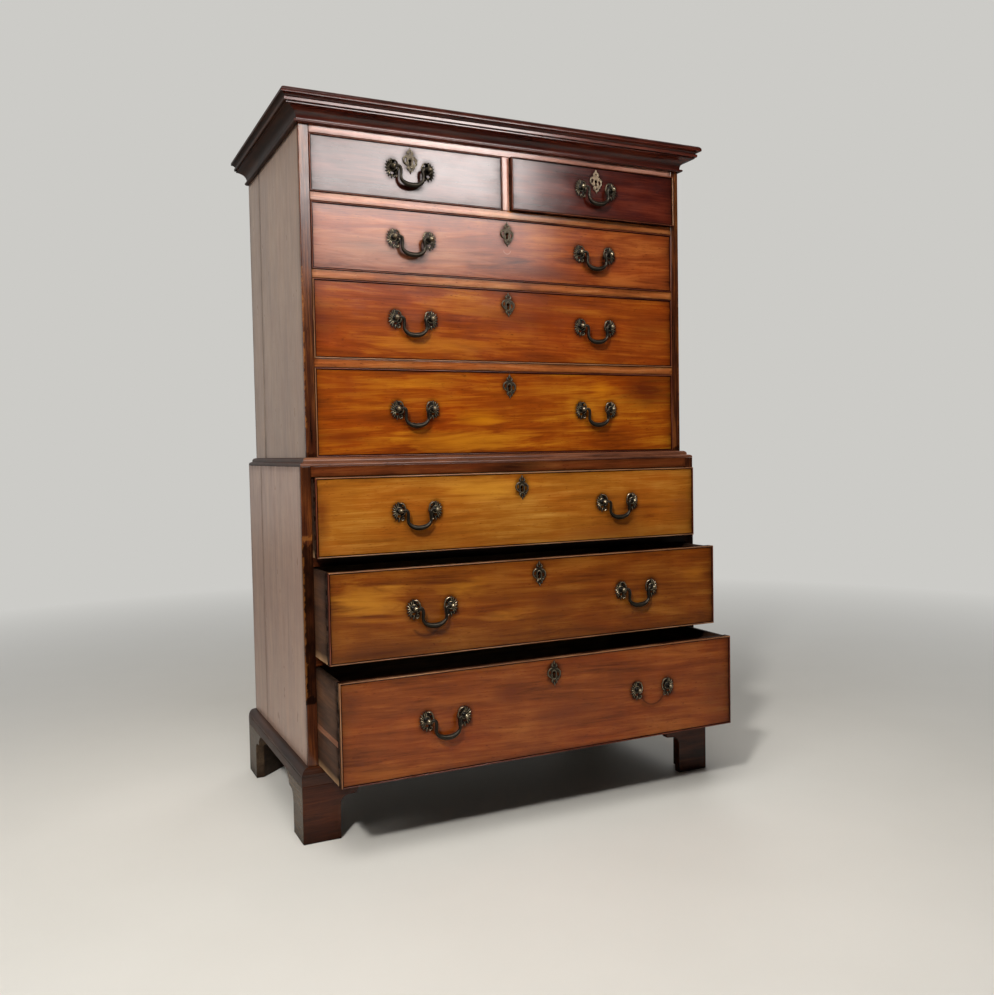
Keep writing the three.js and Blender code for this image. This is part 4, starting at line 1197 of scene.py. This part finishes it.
def chamfered(mesh, width):
    work = bmesh.new()
    corners = [work.verts.new(p) for p in mesh[0]]
    for face in mesh[1]:
        work.faces.new([corners[i] for i in face])
    bmesh.ops.recalc_face_normals(work, faces=work.faces)
    sharp = [e for e in work.edges if len(e.link_faces) == 2 and e.calc_face_angle() > math.radians(50)]
    bmesh.ops.bevel(work, geom=sharp, offset=width, segments=1, affect="EDGES")
    work.verts.index_update()
    result = [tuple(v.co) for v in work.verts], [tuple(v.index for v in f.verts) for f in work.faces]
    work.free()
    return result


def addFoot(word, sideX, isFront):
    node = f"foot_{'front' if isFront else 'back'}_{word}"
    low, high = nodeBox(node)
    outerX = high[0] if sideX > 0 else low[0]
    outerY = low[1] if isFront else high[1]
    inward = 1 if isFront else -1
    points, faces = chamfered(bracketMesh(high[2], foot["thickness"] - (0.2 if isFront else 0)), 0.9)

    # darker towards the floor, and painted shade just under the plinth, at the top
    def dirt(places):
        return np.clip(np.exp(-places[:, 2] / 26) + 0.35 * np.exp(-(high[2] - places[:, 2]) / 8), 0, 1)

    def addPart(part, mesh, look, grain, slot, replaces=()):
        makePiece(f"{node}_{part}", mesh, woodMaterial(look, grain), "case", slot, replaces, dirt=dirt)

    # the side bracket stops at the front one's back, in a mitre
    sidePoints = []
    for along, depth, up in points:
        cut = max(along, depth) if isFront else along
        sidePoints.append((outerX - sideX * depth, outerY + inward * cut, up))
    addPart("side_bracket", (sidePoints, faces), "side foot", "y", "mahogany_dark", [node])
    innerX, innerY = outerX - sideX * foot["thickness"], outerY + inward * foot["thickness"]
    if isFront:
        frontPoints = [(outerX - sideX * max(along, depth), outerY + depth, up)
                       for along, depth, up in points]
        addPart("front_bracket", (frontPoints, faces), "foot", "x", "mahogany_dark")
        size = foot["block"]
        ys = innerY, innerY + size
    else:
        # a diagonal board across the back corner, and a smaller block clear of it
        run = foot["braceReach"] - foot["thickness"]
        slant = math.hypot(run, foot["width"])
        far = innerX - sideX * run
        near = outerY - foot["width"]
        outline = [(innerX, near), (innerX, near + foot["brace"] * slant / run),
                   (far + sideX * foot["brace"] * slant / foot["width"], outerY), (far, outerY)]
        rings = [[(x, y, z) for x, y in outline] for z in (0, 0.8, high[2] - 0.8, high[2])]
        addPart("brace", chamfered(skinMesh(rings), 0.7), "foot pine", "x", "pine")
        size = foot["rearBlock"]
        ys = outerY - size, outerY - 1
    xs = sorted((innerX, innerX - sideX * size))
    block = plainBoard((xs[0], ys[0], 2), (xs[1], ys[1], high[2]), 1.5, 30, 2)
    addPart("block", block, "foot pine", "z", "pine")


for word, sideX in (("left", -1), ("right", 1)):
    addFoot(word, sideX, True)
    addFoot(word, sideX, False)
print("feet made")

# Floor, light and camera

studio = {
    "floor": "#E5E0D6", "far": "#C9C9C6", "scuffs": "#B9B5A9", "floorReach": 9000,
    "backdrop": "#CCCBC7", "front": "#2A2420", "shade": 0.03, "daylight": (1, 0.93, 0.905),
    "aim": (0, 0, 900),
    "lamps": {
        "window_light": {"place": (930, -3250, 2660), "size": (1460, 760), "power": 62, "mirrored": True},
        "window_middle": {"place": (1190, -3245, 2680), "size": (700, 560), "power": 9, "mirrored": True},
        "window_glow": {"place": (980, -3250, 2110), "size": (1460, 330), "power": 10, "mirrored": True},
        "key_light": {"place": (-2300, -2700, 3100), "size": (320, 320), "power": 108},
        "left_light": {"place": (-3300, -1600, 2700), "size": (1300, 1700), "power": 15},
        "ceiling_light": {"place": (-900, -1500, 3500), "size": (2200, 2400), "power": 70},
        "rear_light": {"place": (2200, 3000, 2900), "size": (1800, 1800), "power": 26},
    },
}


# A painted studio floor, flat and matt: it gathers the shade and fades into the pale backdrop
def addFloor():
    half = studio["floorReach"] * mm
    data = bpy.data.meshes.new("studio_floor")
    corners = [(-half, -half, 0), (half, -half, 0), (half, half, 0), (-half, half, 0)]
    data.from_pydata(corners, [], [(0, 1, 2, 3)])
    material, tree = newMaterial("painted studio floor")
    place = addNode(tree, "TexCoord").outputs["Object"]
    distance = addNode(tree, "VectorMath", {"operation": "LENGTH"}, {0: place}).outputs["Value"]
    fade = addNode(tree, "Math", multiplyAddClamped, {0: distance, 1: 0.3, 2: -0.3})
    cloud = addNode(tree, "TexNoise", {}, {"Vector": place, "Scale": 3.0, "Detail": 3.0})
    scuffs = addNode(tree, "Math", multiply, {0: cloud, 1: 0.2})
    colour = linear(studio["floor"])
    for amount, tint in ((fade, studio["far"]), (scuffs, studio["scuffs"])):
        colour = addNode(tree, "Mix", mixColours, {0: amount, 6: colour, 7: linear(tint)}).outputs[2]
    shader = addNode(tree, "BsdfPrincipled", {}, {"Base Color": colour, "Roughness": 0.6})
    # the floor runs out into the backdrop, with no edge between them
    haze = addNode(tree, "Emission", {}, {"Color": linear(studio["backdrop"])})
    seen = addNode(tree, "LightPath").outputs["Is Camera Ray"]
    far = addNode(tree, "Math", multiplyAddClamped, {0: distance, 1: 0.34, 2: -0.45})
    far = addNode(tree, "Math", multiply, {0: seen, 1: far})
    both = addNode(tree, "MixShader", {}, {0: far, 1: shader, 2: haze})
    addNode(tree, "OutputMaterial", {}, {"Surface": both})
    data.materials.append(material)
    floor = bpy.data.objects.new("studio_floor", data)
    bpy.context.scene.collection.objects.link(floor)


def addLamp(name, lamp):
    data = bpy.data.lights.new(name, "AREA")
    data.shape = "RECTANGLE"
    data.size, data.size_y = [s * mm for s in lamp["size"]]
    data.energy = lamp["power"]
    data.color = studio["daylight"] if lamp.get("mirrored") else (1, 1, 1)
    light = bpy.data.objects.new(name, data)
    light.location = Vector(lamp["place"]) * mm
    aim = Vector(studio["aim"]) - Vector(lamp["place"])
    light.rotation_euler = aim.to_track_quat("-Z", "Y").to_euler()
    light.visible_camera = False
    light.visible_diffuse = not lamp.get("mirrored")  # some only show in the polish
    bpy.context.scene.collection.objects.link(light)


# The surroundings are pale behind and beside the chest, and darker in front of it
def addSurroundings():
    world = bpy.data.worlds.new("studio")
    bpy.context.scene.world = world
    world.use_nodes = True
    tree = world.node_tree
    tree.nodes.clear()
    way = addNode(tree, "TexCoord").outputs["Generated"]
    depth = addNode(tree, "SeparateXYZ", {}, {0: way}).outputs["Y"]
    front = addNode(tree, "Math", multiplyAddClamped, {0: depth, 1: -1.4, 2: 0.35})
    path = addNode(tree, "LightPath")
    colour = linear(studio["backdrop"])
    for amount, tint in ((front, studio["front"]), (path.outputs["Is Camera Ray"], studio["backdrop"])):
        colour = addNode(tree, "Mix", mixColours, {0: amount, 6: colour, 7: linear(tint)}).outputs[2]
    # they give little light to the wood itself, but still mirror in the polish
    strength = addNode(tree, "Math", multiplyAdd, {
        0: path.outputs["Is Diffuse Ray"], 1: studio["shade"] - 1, 2: 1.0})
    background = addNode(tree, "Background", {}, {"Color": colour, "Strength": strength})
    addNode(tree, "OutputWorld", {}, {"Surface": background})


photoCamera = {
    "place": (-1093.2, -2366.65, 895.9), "yaw": 25.460, "pitch": -2.6185, "roll": -1.0368,
    "sensor": 36, "lens": 34.824, "shift": (0.001515, -0.001836),
}


def addCamera():
    yaw, pitch, roll = [math.radians(photoCamera[key]) for key in ("yaw", "pitch", "roll")]
    forward = Vector((math.sin(yaw) * math.cos(pitch), math.cos(yaw) * math.cos(pitch), math.sin(pitch)))
    right = Vector((math.cos(yaw), -math.sin(yaw), 0))
    up = right.cross(forward)
    across = math.cos(roll) * right + math.sin(roll) * up
    upright = -math.sin(roll) * right + math.cos(roll) * up
    data = bpy.data.cameras.new("photo_camera")
    data.sensor_fit = "HORIZONTAL"
    data.sensor_width = photoCamera["sensor"]
    data.lens = photoCamera["lens"]
    data.shift_x, data.shift_y = photoCamera["shift"]
    camera = bpy.data.objects.new("photo_camera", data)
    axes = Matrix((across, upright, -forward)).transposed().to_4x4()
    camera.matrix_world = Matrix.Translation(Vector(photoCamera["place"]) * mm) @ axes
    bpy.context.scene.collection.objects.link(camera)
    bpy.context.scene.camera = camera


addFloor()
for name, lamp in studio["lamps"].items():
    addLamp(name, lamp)
addSurroundings()
addCamera()
bpy.context.scene.view_settings.view_transform = "Standard"
print("studio made")
